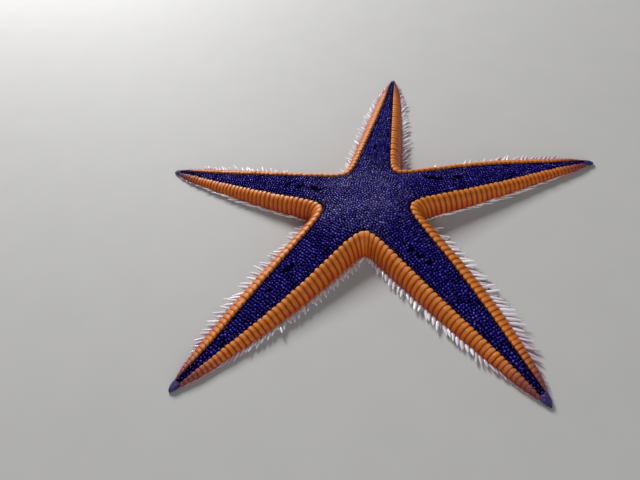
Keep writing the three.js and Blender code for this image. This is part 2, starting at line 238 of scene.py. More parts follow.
def wall_frame(side, q):
    """x and rim points at q, the unit vectors outwards and towards the tip, width and pitch.

    Outwards is from a rim point to the foot point that belongs to it: (foot - rim) / width."""
    arm, sign = side
    table = RIM[side]
    x = np.interp(q, table["q"], table["x"])
    shift = (FOOT_START[side] - table["start"]) * np.exp(-(x - table["start"]) / FAN_LENGTH)
    rim = outline_plan(FIELD, arm, sign, x)
    foot = outline_plan(FOOT, arm, sign, x + shift)
    slim = 1 - SLIM_SHARE * np.clip((q - SLIM_FROM) / SLIM_OVER, 0, 1) ** 2
    foot = rim + slim[:, None] * (foot - rim)
    width = np.linalg.norm(foot - rim, axis=-1)
    out = (foot - rim) / width[..., None]
    on = np.stack([out[..., 1], -out[..., 0]], -1) * sign
    pitch = table["length"] / PLATES * (1 + PITCH_EASE - 2 * PITCH_EASE * q)
    return {"x": x, "rim": rim, "out": out, "on": on, "width": width, "pitch": pitch}


print("wall lengths in mm", [round(RIM[side]["length"], 1) for side in SIDES])


# %% Heights of the upper side
def rim_height(plan):
    """Crown of the walls: tip + rise (1 - u)^c, with u rounded off near the disc centre."""
    u = np.hypot(np.linalg.norm(plan, axis=-1), DISC_ROUNDING) / ARM_REACH
    return TIP_HEIGHT + BASE_RISE * (1 - np.clip(u, 0, 1)) ** RISE_CURVE


def depth_inside(plan):
    """Distance from a plan point to the nearest wall, from the deepest of the five notch pairs."""
    return -np.min([outside(FIELD, arm, 1, plan) for arm in range(len(NAMES))], axis=0)


def field_height(plan):
    """The soft field: the rim's height, less a sink, plus a pillow 1 - exp(-depth / width)."""
    inside = np.maximum(depth_inside(plan), 0)
    pillow = PILLOW_HEIGHT * (1 - np.exp(-inside / PILLOW_WIDTH))
    taper = np.clip(rim_height(plan) / (TIP_HEIGHT + BASE_RISE), 0.3, 1)
    return rim_height(plan) - FIELD_SINK + pillow * taper


def unit(vectors):
    """Vectors scaled to length 1."""
    return vectors / np.linalg.norm(vectors, axis=-1, keepdims=True)


def field_normal(plan, step=0.3):
    """Upward unit normal of the soft field, from its slopes along X and Y."""
    east = field_height(plan + [step, 0]) - field_height(plan - [step, 0])
    north = field_height(plan + [0, step]) - field_height(plan - [0, step])
    return unit(np.stack([-east, -north, np.full(len(plan), 2 * step)], -1))


print("disc centre is", field_height(np.zeros((1, 2))).round(2)[0], "mm high")

# %% [markdown]
# ## Turning arrays into meshes
#
# Blender can build a mesh one vertex at a time, but with half a million faces whole arrays are
# far quicker. `make_piece` takes points and faces, turns the faces outwards by the sign of the
# enclosed volume, and stores any values that the materials need as attributes.


# %% Points and faces
def lift(plan, height):
    """Plan points and heights joined into points of three numbers."""
    return np.concatenate([plan, np.broadcast_to(height, plan.shape[:-1])[..., None]], -1)


def grid_faces(rows, columns, closed=False):
    """Quads of a grid numbered row by row; closed joins the last column to the first."""
    row, column = np.meshgrid(np.arange(rows - 1), np.arange(columns - (not closed)), indexing="ij")
    after = (column + 1) % columns
    quads = [row * columns + column, row * columns + after]
    quads += [(row + 1) * columns + after, (row + 1) * columns + column]
    return np.stack(quads, -1).reshape(-1, 4)


def enclosed_volume(points, faces):
    """Signed volume: the sum over triangles of a . (b x c) / 6, each face split into a fan."""
    total = 0.0
    for group in faces:
        a = points[group[:, 0]]
        for k in range(1, group.shape[1] - 1):
            b, c = points[group[:, k]], points[group[:, k + 1]]
            total += np.einsum("ij,ij->", a, np.cross(b, c)) / 6
    return total


print("faces of a grid of 4 by 5 points:", len(grid_faces(4, 5)))


# %% From arrays to a piece
def make_piece(name, points, faces, material, values=None, bake_map=None):
    """A mesh object at the origin, riding on the body, from points in millimetres from the disc.

    Faces are given as arrays of one corner count each. Values become attributes of the points, and
    a bake map gives each point its place on a second UV map, named OFBake."""
    points = points.reshape(-1, 3)
    if enclosed_volume(points - points.mean(0), faces) < 0:
        faces = [group[:, ::-1] for group in faces]
    mesh = bpy.data.meshes.new(name)
    corners = np.concatenate([group.ravel() for group in faces])
    sizes = np.concatenate([np.full(len(group), group.shape[1]) for group in faces])
    mesh.vertices.add(len(points))
    placed = (points + [*DISC_CENTRE, 0]) * MM
    mesh.vertices.foreach_set("co", placed.astype(np.float32).ravel())
    mesh.loops.add(len(corners))
    mesh.loops.foreach_set("vertex_index", corners.astype(np.int32))
    mesh.polygons.add(len(sizes))
    mesh.polygons.foreach_set("loop_start", (np.cumsum(sizes) - sizes).astype(np.int32))
    mesh.polygons.foreach_set("use_smooth", np.ones(len(sizes), bool))
    for key, value in (values or {}).items():
        layer = mesh.attributes.new(key, "FLOAT", "POINT")
        layer.data.foreach_set("value", np.broadcast_to(value, len(points)).astype(np.float32))
    if bake_map is not None:
        layer = mesh.uv_layers.new(name="OFBake")
        layer.data.foreach_set("uv", bake_map.reshape(-1, 2)[corners].astype(np.float32).ravel())
    mesh.update(calc_edges=True)
    mesh.validate()
    mesh.materials.append(material)
    piece = bpy.data.objects.new(name, mesh)
    bpy.context.scene.collection.objects.link(piece)
    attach(piece, "root")
    return piece


# %% [markdown]
# Crowns, spines and tube feet are small shapes that are repeated by the hundred. Blender's
# instances would do this with less memory. A `stamp` makes plain geometry instead: it multiplies
# one shape by a frame of three axes for every copy, all at once, and joins the result.


# %% Stamps, and the frames that turn them
UP = np.array([0.0, 0.0, 1.0])


def stamp(shape, shape_faces, places, frames, sizes):
    """Many copies of one shape as one mesh: each is scaled, turned into its frame and moved."""
    moved = np.einsum("nvk,nkj->nvj", shape * sizes[:, None, :], frames) + places[:, None, :]
    first = (np.arange(len(places)) * shape.shape[-2])[:, None, None]
    faces = [(group + first).reshape(-1, group.shape[1]) for group in shape_faces]
    return moved, faces


def frames_about(normal, forward):
    """Right-handed frames as rows: forward made square to the normal, the side, the normal."""
    forward = unit(forward - normal * np.sum(forward * normal, -1, keepdims=True))
    return np.stack([forward, np.cross(normal, forward), normal], 1)


def frames_along(ahead, upward):
    """Right-handed frames as rows: ahead, the side (upward x ahead), and what is square to both."""
    aside = unit(np.cross(upward, ahead))
    return np.stack([ahead, aside, np.cross(ahead, aside)], 1)


def turns(count):
    """Equal steps round a full turn, in radians."""
    return np.linspace(0, 2 * np.pi, count, endpoint=False)


def between(start, end, shares):
    """Rows of points at these shares of the way between two lines of points: a + s (b - a)."""
    return start[:, None] + (end - start)[:, None] * np.asarray(shares)[:, None]


# %% [markdown]
# ## Shader maths written as Python
#
# A material is a graph of nodes. Wiring each by hand hides the idea behind the plumbing, so the
# class below wraps one socket and lets `+`, `-` and `*` add the Math nodes. A `Bench` holds one
# material and makes every other node with a single method.


# %% A socket that takes part in sums
class Wire:
    """One output socket; arithmetic on it adds Math nodes to the same material."""

    def __init__(self, bench, socket):
        self.bench, self.socket = bench, socket

    def math(self, operation, first, second):
        """A Math node on two values, of which one may be a plain number."""
        return self.bench.node("ShaderNodeMath", {"operation": operation}, {0: first, 1: second})[0]

    def __add__(self, other):
        return self.math("ADD", self, other)

    def __sub__(self, other):
        return self.math("SUBTRACT", self, other)

    def __rsub__(self, other):
        return self.math("SUBTRACT", other, self)

    def __mul__(self, other):
        return self.math("MULTIPLY", self, other)

    __radd__ = __add__
    __rmul__ = __mul__

    def smooth(self, low, high):
        """0 below low, 1 above high, and a smooth step between them."""
        settings = {"interpolation_type": "SMOOTHSTEP"}
        inputs = {"Value": self, "From Min": low, "From Max": high}
        return self.bench.node("ShaderNodeMapRange", settings, inputs)[0]


class Outputs:
    """A node's outputs, by number, name or identifier, as wires."""

    def __init__(self, bench, made):
        self.bench, self.made = bench, made

    def __getitem__(self, key):
        return Wire(self.bench, find_socket(self.made.outputs, key))


def find_socket(sockets, key):
    """A socket by its number, or by its identifier, or else by its name."""
    by_identifier = {socket.identifier: socket for socket in sockets}
    return by_identifier.get(key) or sockets[key]


# %% A bench for one material
class Bench:
    """The node tree of one material, with the few calls that the finishes below need."""

    def __init__(self, name):
        self.material = bpy.data.materials.new(name)
        self.material.use_nodes = True
        self.tree = self.material.node_tree
        self.tree.nodes.clear()
        self.place = self.node("ShaderNodeTexCoord", {}, {})["Object"]

    def node(self, kind, settings, inputs):
        """Adds a node, sets its settings first and then its sockets, and gives its outputs."""
        made = self.tree.nodes.new(kind)
        for key, value in settings.items():
            setattr(made, key, value)
        for key, value in inputs.items():
            socket = find_socket(made.inputs, key)
            if isinstance(value, Wire):
                self.tree.links.new(value.socket, socket)
            else:
                socket.default_value = value
        return Outputs(self, made)

    def attribute(self, name):
        """A value that the piece holds for each of its points."""
        return self.node("ShaderNodeAttribute", {"attribute_name": name}, {})["Fac"]

    def noise(self, scale, detail=3.0, roughness=0.5):
        """Noise whose scale is in waves per metre, on Object coordinates."""
        inputs = {"Vector": self.place, "Scale": scale, "Detail": detail, "Roughness": roughness}
        return self.node("ShaderNodeTexNoise", {}, inputs)[0]

    def cells(self, scale):
        """Distance to the middle of the nearest random cell, for grains and specks."""
        inputs = {"Vector": self.place, "Scale": scale}
        return self.node("ShaderNodeTexVoronoi", {}, inputs)["Distance"]

    def mix(self, share, first, second):
        """A colour between two others: the first at 0, the second at 1."""
        settings = {"data_type": "RGBA", "clamp_factor": True}
        inputs = {"Factor_Float": share, "A_Color": first, "B_Color": second}
        return self.node("ShaderNodeMix", settings, inputs)["Result_Color"]

    def bump(self, height, distance, strength):
        """A normal that tilts as if the surface rose by height times distance, in metres."""
        inputs = {"Height": height, "Distance": distance, "Strength": strength}
        return self.node("ShaderNodeBump", {}, inputs)["Normal"]

    def finish(self, **inputs):
        """The Principled shader with these sockets, and the material's output."""
        named = {key.replace("_", " "): value for key, value in inputs.items()}
        shader = self.node("ShaderNodeBsdfPrincipled", {}, named)["BSDF"]
        self.node("ShaderNodeOutputMaterial", {}, {"Surface": shader})
        return self.material


# %% Colours
def rgb(red, green, blue):
    """A colour from its 0-255 screen values, as the linear light that shaders use."""
    screen = np.array([red, green, blue]) / 255
    linear = np.where(screen <= 0.04045, screen / 12.92, ((screen + 0.055) / 1.055) ** 2.4)
    return (*(float(value) for value in linear), 1.0)


print("a middle grey of 128 on the screen is", round(rgb(128, 128, 128)[0], 3), "as light")


# %% [markdown]
# ## Finishes
#
# The animal is wet, so most parts have a thin gloss over a grainy body. Colours vary the way they
# do in life, and in places light and shade are painted into them as well; one picture wrapped over
# each part could hold them all. Formulas stay sharp however near one comes, and they read values
# that each piece brings along: `tone` is a plate's, crown's or spine's own random shade, `rise`
# goes from its foot to its top, and `reach` along the arm.
#
# The crowns are a deep blue-violet, greyer and glossier over the disc, where the grey is partly a
# painted sheen. Their pale tops are partly their own pale tips and partly a painted highlight,
# their feet are painted nearly black as shade, and beside the walls they carry painted shade. A
# plain noise would run across the crowns like dye through cloth; with `tone` and `rise` each crown
# is shaded as a thing of its own.


# %% Violet crowns of the upper side
def violet_finish():
    """Violet by tone, greyer in patches near the disc with a painted sheen, a painted highlight on
    top, and painted shade at the foot and beside the walls.
    """
    bench = Bench("violet_crowns")
    tone, rise, middle, edge = map(bench.attribute, ("tone", "rise", "disc", "edge"))
    patches = bench.noise(110).smooth(0.4, 0.65)
    deep = bench.mix(tone, rgb(8, 0, 86), rgb(42, 16, 170))
    # greyer over the disc and in patches: partly the disc's own colour, partly a painted sheen
    grey = bench.mix(tone, rgb(20, 12, 100), rgb(136, 122, 212))
    body = bench.mix(middle * (patches * 0.68 + 0.22) + patches * 0.1, deep, grey)
    # painted highlight: pale lavender tops on many crowns, more over the disc, partly their own
    # pale tips
    glint = rise.smooth(0.84, 1.0) * (tone.smooth(0.55, 1.0) * 0.6 + middle * 0.5)
    with_painted_light = bench.mix(glint, body, rgb(188, 182, 244))
    # painted shade: crowns beside the walls darken towards near black, as if shaded by the walls'
    # crowns
    with_painted_light = bench.mix(edge * 0.7, with_painted_light, rgb(8, 0, 36))
    # painted shade: the crowns turn nearly black towards their feet, where they shade each other
    colour = bench.mix(rise.smooth(0.3, 0.92), rgb(2, 0, 32), with_painted_light)
    grains = bench.cells(6500)
    return bench.finish(
        Base_Color=colour,
        Roughness=bench.noise(2600) * 0.2 + 0.14,
        Normal=bench.bump(grains, 0.00005, 0.5),
        Specular_IOR_Level=0.06,
        Coat_Weight=middle * 0.22 + 0.12,
        Coat_Roughness=0.1,
    )


# %% [markdown]
# The bare skin shows as a dark ground between the crowns, nearly black, which is partly its own
# colour and partly painted shade, and as a warm cream on the underside. Two skins with two finishes
# would need a seam. One finish that reads `oral`, which is 0 above and 1 below, changes over inside
# the walls, where nobody sees it.


# %% Skin between the crowns and on the underside
def skin_finish():
    """Two mottled colours, a near-black above that is partly painted shade and a cream below, with
    fine folds.
    """
    bench = Bench("bare_skin")
    oral = bench.attribute("oral")
    mottle = bench.noise(300, 4)
    # partly painted shade: the upper skin is nearly black where it shows between the crowns
    upper = bench.mix(mottle, rgb(3, 0, 32), rgb(9, 3, 56))
    lower = bench.mix(mottle, rgb(196, 146, 98), rgb(226, 188, 142))
    folds = bench.noise(1800, 4, 0.6)
    return bench.finish(
        Base_Color=bench.mix(oral, upper, lower),
        Roughness=folds * 0.2 + 0.75,
        Normal=bench.bump(folds, 0.0001, 0.5),
        Specular_IOR_Level=0.05,
    )


# %% [markdown]
# A marginal plate is orange, paler on its crown and redder towards the foot, with rust in the
# groove beside it, dark specks, and a skin of fine granules; near the arm's tip its crown turns
# mauve. The pale crown is partly a painted highlight, and the lighter top and darker foot are
# partly painted light and shade. Each plate could be painted by hand. There are four hundred, so
# `bar`, which is 0 in a groove and 1 on the middle of a plate, lets one sum paint them all.


# %% Orange marginal plates
def plate_finish():
    """Orange by rise and tone (partly painted light), then streaks, a painted crown highlight,
    painted shade at the foot, mauve tip, specks and groove.
    """
    bench = Bench("orange_plates")
    bar, rise, reach, tone = map(bench.attribute, ("bar", "rise", "reach", "tone"))
    # lighter towards the crown: partly the plates' own colour, partly painted light
    body = bench.mix(rise.smooth(0.05, 0.95), rgb(198, 66, 2), rgb(232, 122, 8))
    body = bench.mix(tone * 0.4, body, rgb(236, 138, 20))
    streaks = bench.noise(900, 5, 0.6).smooth(0.35, 0.7)
    body = bench.mix(streaks * 0.3, body, rgb(186, 64, 4))
    # painted highlight: the middle of each bar's crown turns pale, partly the plates' own pale caps
    pale = (rise.smooth(0.88, 1.0) * bar.smooth(0.3, 1.0)) * 0.55
    body = bench.mix(pale, body, rgb(236, 168, 94))
    # painted shade: dark red at the foot, where the wall meets the lower plates
    body = bench.mix((1 - rise.smooth(0.0, 0.16)) * 0.5, body, rgb(150, 44, 24))
    tip = reach.smooth(0.72, 0.98)
    # mauve near the tip, also lighter towards the crown, partly painted light
    body = bench.mix(tip * 0.92, body, bench.mix(rise, rgb(76, 26, 48), rgb(128, 66, 74)))
    specks = 1 - bench.cells(620).smooth(0.05, 0.1)
    body = bench.mix(specks * 0.6, body, rgb(92, 34, 16))
    groove = (1 - bar.smooth(0.0, 0.75)) * (0.9 - rise.smooth(0.85, 1.0) * 0.4)
    colour = bench.mix(groove, body, rgb(122, 32, 0))
    granules = 1 - bench.cells(3400).smooth(0.0, 0.7)
    return bench.finish(
        Base_Color=colour,
        Roughness=bench.noise(2200) * 0.2 + 0.32,
        Normal=bench.bump(granules, 0.0001, 0.6),
        Specular_IOR_Level=0.3,
        Coat_Weight=0.12,
        Coat_Roughness=0.25,
    )


# %% [markdown]
# The spines are chalky and ridged, with pink roots and pale points, and mauve near the arm's tip.
# The plates of the underside are cream with an orange outer edge, and their skin is scaly. One pale
# finish could serve both, but chalk and scales catch the light differently.


# %% Pale spines and cream under-plates
def spine_finish():
    """White by tone, mauve by reach, a pink root, a pale point and fine ridges."""
    bench = Bench("pale_spines")
    rise, tone, reach = map(bench.attribute, ("rise", "tone", "reach"))
    shaft = bench.mix(tone, rgb(230, 216, 228), rgb(254, 252, 254))
    mauve = reach.smooth(0.5, 0.9)
    shaft = bench.mix(mauve * 0.8, shaft, rgb(186, 138, 166))
    colour = bench.mix(rise.smooth(0.0, 0.2), rgb(176, 112, 100), shaft)
    point = rise.smooth(0.6, 1.0) * (0.6 - mauve * 0.4)
    ridges = bench.noise(2500)
    return bench.finish(
        Base_Color=bench.mix(point, colour, rgb(254, 252, 254)),
        Roughness=ridges * 0.2 + 0.3,
        Normal=bench.bump(ridges, 0.00005, 0.5),
        Coat_Weight=0.2,
    )


def oral_finish():
    """Cream by tone, an orange outer edge, darker scales and brown grooves."""
    bench = Bench("cream_plates")
    bar, tone, edge = map(bench.attribute, ("bar", "tone", "rise"))
    body = bench.mix(tone, rgb(214, 150, 92), rgb(234, 190, 138))
    body = bench.mix(edge.smooth(0.3, 1.0) * 0.8, body, rgb(206, 112, 44))
    scales = bench.cells(2600)
    body = bench.mix(scales.smooth(0.3, 0.6) * 0.3, body, rgb(168, 96, 56))
    colour = bench.mix((1 - bar.smooth(0.0, 0.45)) * 0.75, body, rgb(122, 62, 34))
    return bench.finish(
        Base_Color=colour,
        Roughness=scales * 0.3 + 0.35,
        Normal=bench.bump(1 - scales, 0.0001, 0.6),
    )


# %% [markdown]
# Tube feet are wet and let light through, so they alone have light scattered under their surface.
# The end plates are rough and violet, and the sieve plate has pale ridges with dark furrows between
# them. All three are small, and a little noise is enough to keep them from looking like plastic.


# %% Tube feet, end plates and sieve plate
def tube_foot_finish():
    """Translucent flesh, paler towards the tip."""
    bench = Bench("tube_feet")
    rise = bench.attribute("rise")
    rings = bench.noise(3200, 2)
    colour = bench.mix(rise, rgb(206, 166, 118), rgb(244, 226, 196))
    return bench.finish(
        Base_Color=colour,
        Roughness=rings * 0.15 + 0.2,
        Normal=bench.bump(rings, 0.00005, 0.4),
        Subsurface_Weight=0.3,
        Subsurface_Scale=0.001,
        Coat_Weight=0.4,
    )


def violet_end_finish():
    """Mottled deep violet with coarse grains."""
    bench = Bench("violet_ends")
    mottle = bench.noise(1400, 4)
    colour = bench.mix(mottle.smooth(0.35, 0.7), rgb(22, 2, 76), rgb(66, 34, 132))
    grains = bench.cells(3000)
    return bench.finish(
        Base_Color=colour,
        Roughness=mottle * 0.2 + 0.3,
        Normal=bench.bump(1 - grains, 0.0003, 0.9),
        Coat_Weight=0.05,
    )


def sieve_finish():
    """Greyish violet ridges and dark furrows."""
    bench = Bench("sieve_ridges")
    furrow = bench.attribute("rise")
    mottle = bench.noise(1500, 4)
    ridge = bench.mix(mottle, rgb(58, 44, 118), rgb(96, 80, 152))
    return bench.finish(
        Base_Color=bench.mix(furrow, rgb(24, 16, 60), ridge),
        Roughness=mottle * 0.2 + 0.4,
        Normal=bench.bump(mottle, 0.00005, 0.5),
    )


VIOLET, SKIN, ORANGE, PALE = violet_finish(), skin_finish(), plate_finish(), spine_finish()
CREAM, FLESH = oral_finish(), tube_foot_finish()
VIOLET_END, SIEVE = violet_end_finish(), sieve_finish()
print("finishes:", [material.name for material in bpy.data.materials if material.use_nodes])

# %% [markdown]
# ## The skin
#
# On the animal one skin wraps the whole body. It shows as the dark ground between the crowns and in
# a few slits along the arms, and it lines the furrow underneath. A voxel remesh of five cones gives
# such a star, but its vertices would lie anywhere. Here each half of an arm is a grid, from the
# middle line over the top to the wall, down inside it, and back along the underside. All ten grids
# share their edges, so merging doubles closes them into one skin.

# %% Slits and creases of the upper side
COAT_DEPTH = 0.55  # from the crowns' tops down to the skin
SLIT_DEPTH = 0.9  # below the skin around it
# arm, x, y, half length, half width and turn from the arm's direction, in millimetres and degrees
SLITS = [
    ("left", 19.7, 1.2, 3.0, 1.05, -25),
    ("left", 26.5, 1.0, 2.1, 0.95, 31),
    ("left", 31.7, 0.3, 1.6, 0.95, 50),
    ("right", 26.4, 1.4, 4.0, 0.95, -27),
    ("right", 35.7, 0.2, 1.9, 0.9, -30),
    ("front_right", 28.6, -1.6, 1.5, 0.9, 0),
    ("front_right", 32.3, -1.3, 1.4, 0.8, 60),
    ("front_right", 36.5, -0.3, 1.3, 0.9, -30),
    ("front_left", 39.4, -1.3, 2.2, 0.9, 0),
    ("front_left", 49.6, -0.8, 1.2, 0.8, 0),
    ("back", 30.0, 0.6, 1.8, 0.8, 10),
]


def in_slits(plan):
    """1 in the middle of a slit and 0 at its rim: 1 - (dx / a)^2 - (dy / b)^2, never below 0."""
    deepest = np.zeros(plan.shape[:-1])
    for name, along, across, half_length, half_width, turn in SLITS:
        x, y = to_arm(NAMES.index(name), plan)
        cos, sin = math.cos(math.radians(turn)), math.sin(math.radians(turn))
        dx, dy = (x - along) * cos + (y - across) * sin, (y - across) * cos - (x - along) * sin
        deepest = np.maximum(deepest, 1 - (dx / half_length) ** 2 - (dy / half_width) ** 2)
    return deepest


def skin_top(plan):
    """The skin lies a coat's depth below the crowns, and dips in the slits."""
    return field_height(plan) - COAT_DEPTH - SLIT_DEPTH * in_slits(plan)


print("slits and dark pits:", len(SLITS))

# %% The underside with its furrows and mouth
UNDER_LEVEL = 0.5  # the skin of the underside, above the plates that rest on the ground


def furrow_half(x):
    """Half width of a furrow, narrowing to about a third at the tip."""
    return FURROW_HALF * (1 - 0.65 * np.clip(x / ARM_REACH, 0, 1))


def furrow_depth(x):
    """Depth of a furrow, falling with the arm's height."""
    return FURROW_DEPTH * (1 - 0.85 * np.clip(x / ARM_REACH, 0, 1))


def skin_bottom(plan):
    """Level skin, with a rounded furrow 1 - (y / half)^2 along each arm and a bowl at the mouth."""
    hollow = MOUTH_DEPTH * np.clip(1.25 - (np.linalg.norm(plan, axis=-1) / MOUTH_RADIUS) ** 2, 0, 1)
    for arm in range(len(NAMES)):
        x, y = to_arm(arm, plan)
        furrow = furrow_depth(x) * np.clip(1 - (y / furrow_half(x)) ** 2, 0, 1) ** 0.6
        hollow = np.maximum(hollow, furrow * (x > 0))
    return UNDER_LEVEL + hollow


print("a furrow is", furrow_depth(np.array([0, ARM_REACH])).round(2), "mm deep, mouth and tip")

# %% One skin from ten grids
STATIONS = 150
USUAL_NOTCH = 13.3  # how far out along its arm a notch lies, more or less
MIDDLE_FAN = 14.0  # stretch over which the grid lines fan out from the disc centre
TOP_STEPS, WALL_STEPS, UNDER_STEPS = 18, 4, 20
TUCK, END_TUCK = 0.35, 0.6  # how far the skin reaches in under the plates and the end plates


def fanned(x, start, back):
    """x drawn back near its start: x - back exp(-(x - start) / fan)."""
    return x - back * np.exp(-(x - start) / MIDDLE_FAN)


def half_arm_skin(side):
    """Grid of points: middle line, up to the wall, down inside it, and back to the furrow's middle.

    Each grid line runs straight from a point of the middle line to a point of the rim. The middle
    points are fanned out so that they start in the disc centre, and the rim points follow them."""
    arm, sign = side
    end = LENGTH[arm] - TERMINAL_LENGTH + END_TUCK
    walk = USUAL_NOTCH + (end - USUAL_NOTCH) * np.linspace(0, 1, STATIONS) ** 1.25
    middle_x = fanned(walk, USUAL_NOTCH, USUAL_NOTCH)
    own = RIM[side]["start"]
    trial = own + (end - own) * np.linspace(0, 1, 600)
    rim = outline_plan(FIELD, arm, sign, np.interp(middle_x, fanned(trial, own, own), trial))
    middle = to_plan(arm, middle_x, 0)
    edge = rim + TUCK * unit(rim - middle)
    top = between(middle, edge, np.linspace(0, 1, TOP_STEPS) ** 0.9)
    wall = np.repeat(edge[:, None], WALL_STEPS, 1)
    under = between(middle, edge, 1 - np.linspace(0, 1, UNDER_STEPS) ** 0.8)
    top_height = skin_top(top)
    fall = np.linspace(0, 1, WALL_STEPS + 2)[1:-1]
    wall_height = top_height[:, -1:] * (1 - fall) + UNDER_LEVEL * fall
    height = np.concatenate([top_height, wall_height, skin_bottom(under)], 1)
    points = lift(np.concatenate([top, wall, under], 1), height)
    points[-1] = lift(middle[-1:], TIP_HEIGHT / 2)
    return points


def make_skin():
    """The ten grids as one mesh, merged along the edges that they share."""
    points = np.stack([half_arm_skin(side) for side in SIDES])
    columns = TOP_STEPS + WALL_STEPS + UNDER_STEPS
    faces = [
        grid_faces(STATIONS, columns)[:, ::sign] + number * STATIONS * columns
        for number, (arm, sign) in enumerate(SIDES)
    ]
    oral = np.tile(np.arange(columns) >= TOP_STEPS + WALL_STEPS, len(SIDES) * STATIONS)
    skin = make_piece("skin", points, [np.concatenate(faces)], SKIN, {"oral": oral})
    work = bmesh.new()
    work.from_mesh(skin.data)
    bmesh.ops.remove_doubles(work, verts=work.verts, dist=0.004 * MM)
    bmesh.ops.recalc_face_normals(work, faces=work.faces)
    open_edges = sum(not edge.is_manifold for edge in work.edges)
    work.to_mesh(skin.data)
    work.free()
    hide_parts("disc", *[f"arm_{name}" for name in NAMES])
    return skin, open_edges


skin, open_edges = make_skin()
print("skin:", len(skin.data.polygons), "faces,", open_edges, "open edges")

# %% [markdown]
# ## The walls of marginal plates
#
# Forty arched bars stand side by side along each wall. They could be modelled as one bar and copied
# with an array along a curve, but the bars change in pitch, height and slant all the way, and meet
# without gaps. So a wall is one closed tube: a fixed section carried from notch to tip, pressed in
# between the bars. The section is a small round for the inner edge of the crown, then a quarter of
# a *superellipse* down to the foot: an ellipse whose power can make it squarer or steeper.

# %% The section of a wall
CROWN_STEPS, WALL_SECTION_STEPS = 6, 15
CROWN_LAP = 0.05  # how far the crown's edge lies inside the rim
# powers of the superellipse in the order of SIDES: 2 is an ellipse, more is squarer, less steeper
BOXINESS = [2.0, 2.0, 2.1, 1.6, 2.1, 1.9, 1.9, 2.1, 1.6, 2.1]
# how deep the grooves between bars are beside the deepest, in the same order
DENT = [0.85, 0.85, 1.0, 0.5, 1.0, 0.6, 0.8, 1.0, 0.5, 1.0]


def seam_height(height):
    """Where the upper plates end and the lower plates begin."""
    return np.minimum(1.5, 0.36 * height)


def wall_section(width, height, boxiness):
    """(outwards, up) of the section's points for given widths and heights, with press and rise.

    A quarter round of radius edge leads up to the crown. There out = start + (width - start)
    sin(t)^(2/b) and up = seam + (height - seam) cos(t)^(2/b) take over, with the boxiness b.
    Press is how deep the grooves cut at each point, and rise is 0 at the seam, 1 on the crown."""
    width, height = width[:, None], height[:, None]
    seam = seam_height(height)
    edge = 0.1 * width + 0.08
    turn = np.linspace(0, np.pi / 2, CROWN_STEPS)[:-1]
    crown = [edge * (1 - np.cos(turn)) - CROWN_LAP, height - edge * (1 - np.sin(turn))]
    turn = np.linspace(0, np.pi / 2, WALL_SECTION_STEPS)
    start = edge - CROWN_LAP
    wall = [
        start + (width - start) * np.sin(turn) ** (2 / boxiness),
        seam + (height - seam) * np.cos(turn) ** (2 / boxiness),
    ]
    foot = [
        np.concatenate([width - 0.25, width * 0.7, width * 0.3, 0 * width - 0.02], 1),
        np.concatenate([seam - 0.12, seam - 0.05, seam, height - 2.2 * edge], 1),
    ]
    out, up = (np.concatenate(parts, 1) for parts in zip(crown, wall, foot))
    knuckle = np.linspace(0.9, 0.8, CROWN_STEPS - 1)
    face = 0.8 - 0.1 * np.sin(np.linspace(0, np.pi, WALL_SECTION_STEPS))
    press = np.concatenate([knuckle, face, [0.4, 0, 0, 0]])
    return out, up, press, np.clip((up - seam) / (height - seam), 0, 1)


def section_normals(out, up):
    """Outward normals of closed sections, from the difference of each point's two neighbours."""
    along_out = np.roll(out, -1, 1) - np.roll(out, 1, 1)
    along_up = np.roll(up, -1, 1) - np.roll(up, 1, 1)
    size = np.hypot(along_out, along_up) + 1e-9
    return -along_up / size, along_out / size


print("points round a wall:", wall_section(np.ones(1), np.ones(1), 2.0)[0].size)


# %% Closed tubes, ring by ring
def tube_faces(rows, columns):
    """Quads round a closed tube and a fan at each end, whose middles are the last two vertices."""
    ring = np.arange(columns)
    after = (ring + 1) % columns
    first, last = np.full(columns, rows * columns), np.full(columns, rows * columns + 1)
    start_fan = np.stack([first, after, ring], 1)
    end_fan = np.stack([last, ring + (rows - 1) * columns, after + (rows - 1) * columns], 1)
    return [grid_faces(rows, columns, closed=True), np.concatenate([start_fan, end_fan])]


def close_ends(points):
    """Ring points, row by row, followed by the middles of the first and last rings."""
    ends = np.stack([points[0].mean(0), points[-1].mean(0)])
    return np.concatenate([points.reshape(-1, 3), ends])


def with_ends(values):
    """Values of the ring points, with a zero for each end's middle."""
    return np.concatenate([values.ravel(), [0, 0]])


def ring_values(shape, **values):
    """Several such values, each first spread over all rings and all points round them."""
    return {key: with_ends(np.broadcast_to(value, shape)) for key, value in values.items()}


print("faces of a tube with 3 rings of 6:", [len(group) for group in tube_faces(3, 6)])


# %% Sweeping the section along each wall
BAR_STEPS = np.array([0.0, 0.05, 0.12, 0.22, 0.36, 0.5, 0.64, 0.78, 0.88, 0.95])  # across one bar


def bar_numbers(steps=BAR_STEPS, count=PLATES):
    """q at every ring, the bar each ring belongs to, and 0 to 1 across the bar."""
    across = np.append(np.tile(steps, count), 1.0)
    bar = np.append(np.repeat(np.arange(count), len(steps)), count - 1)
    return (bar + across) / count, bar, across


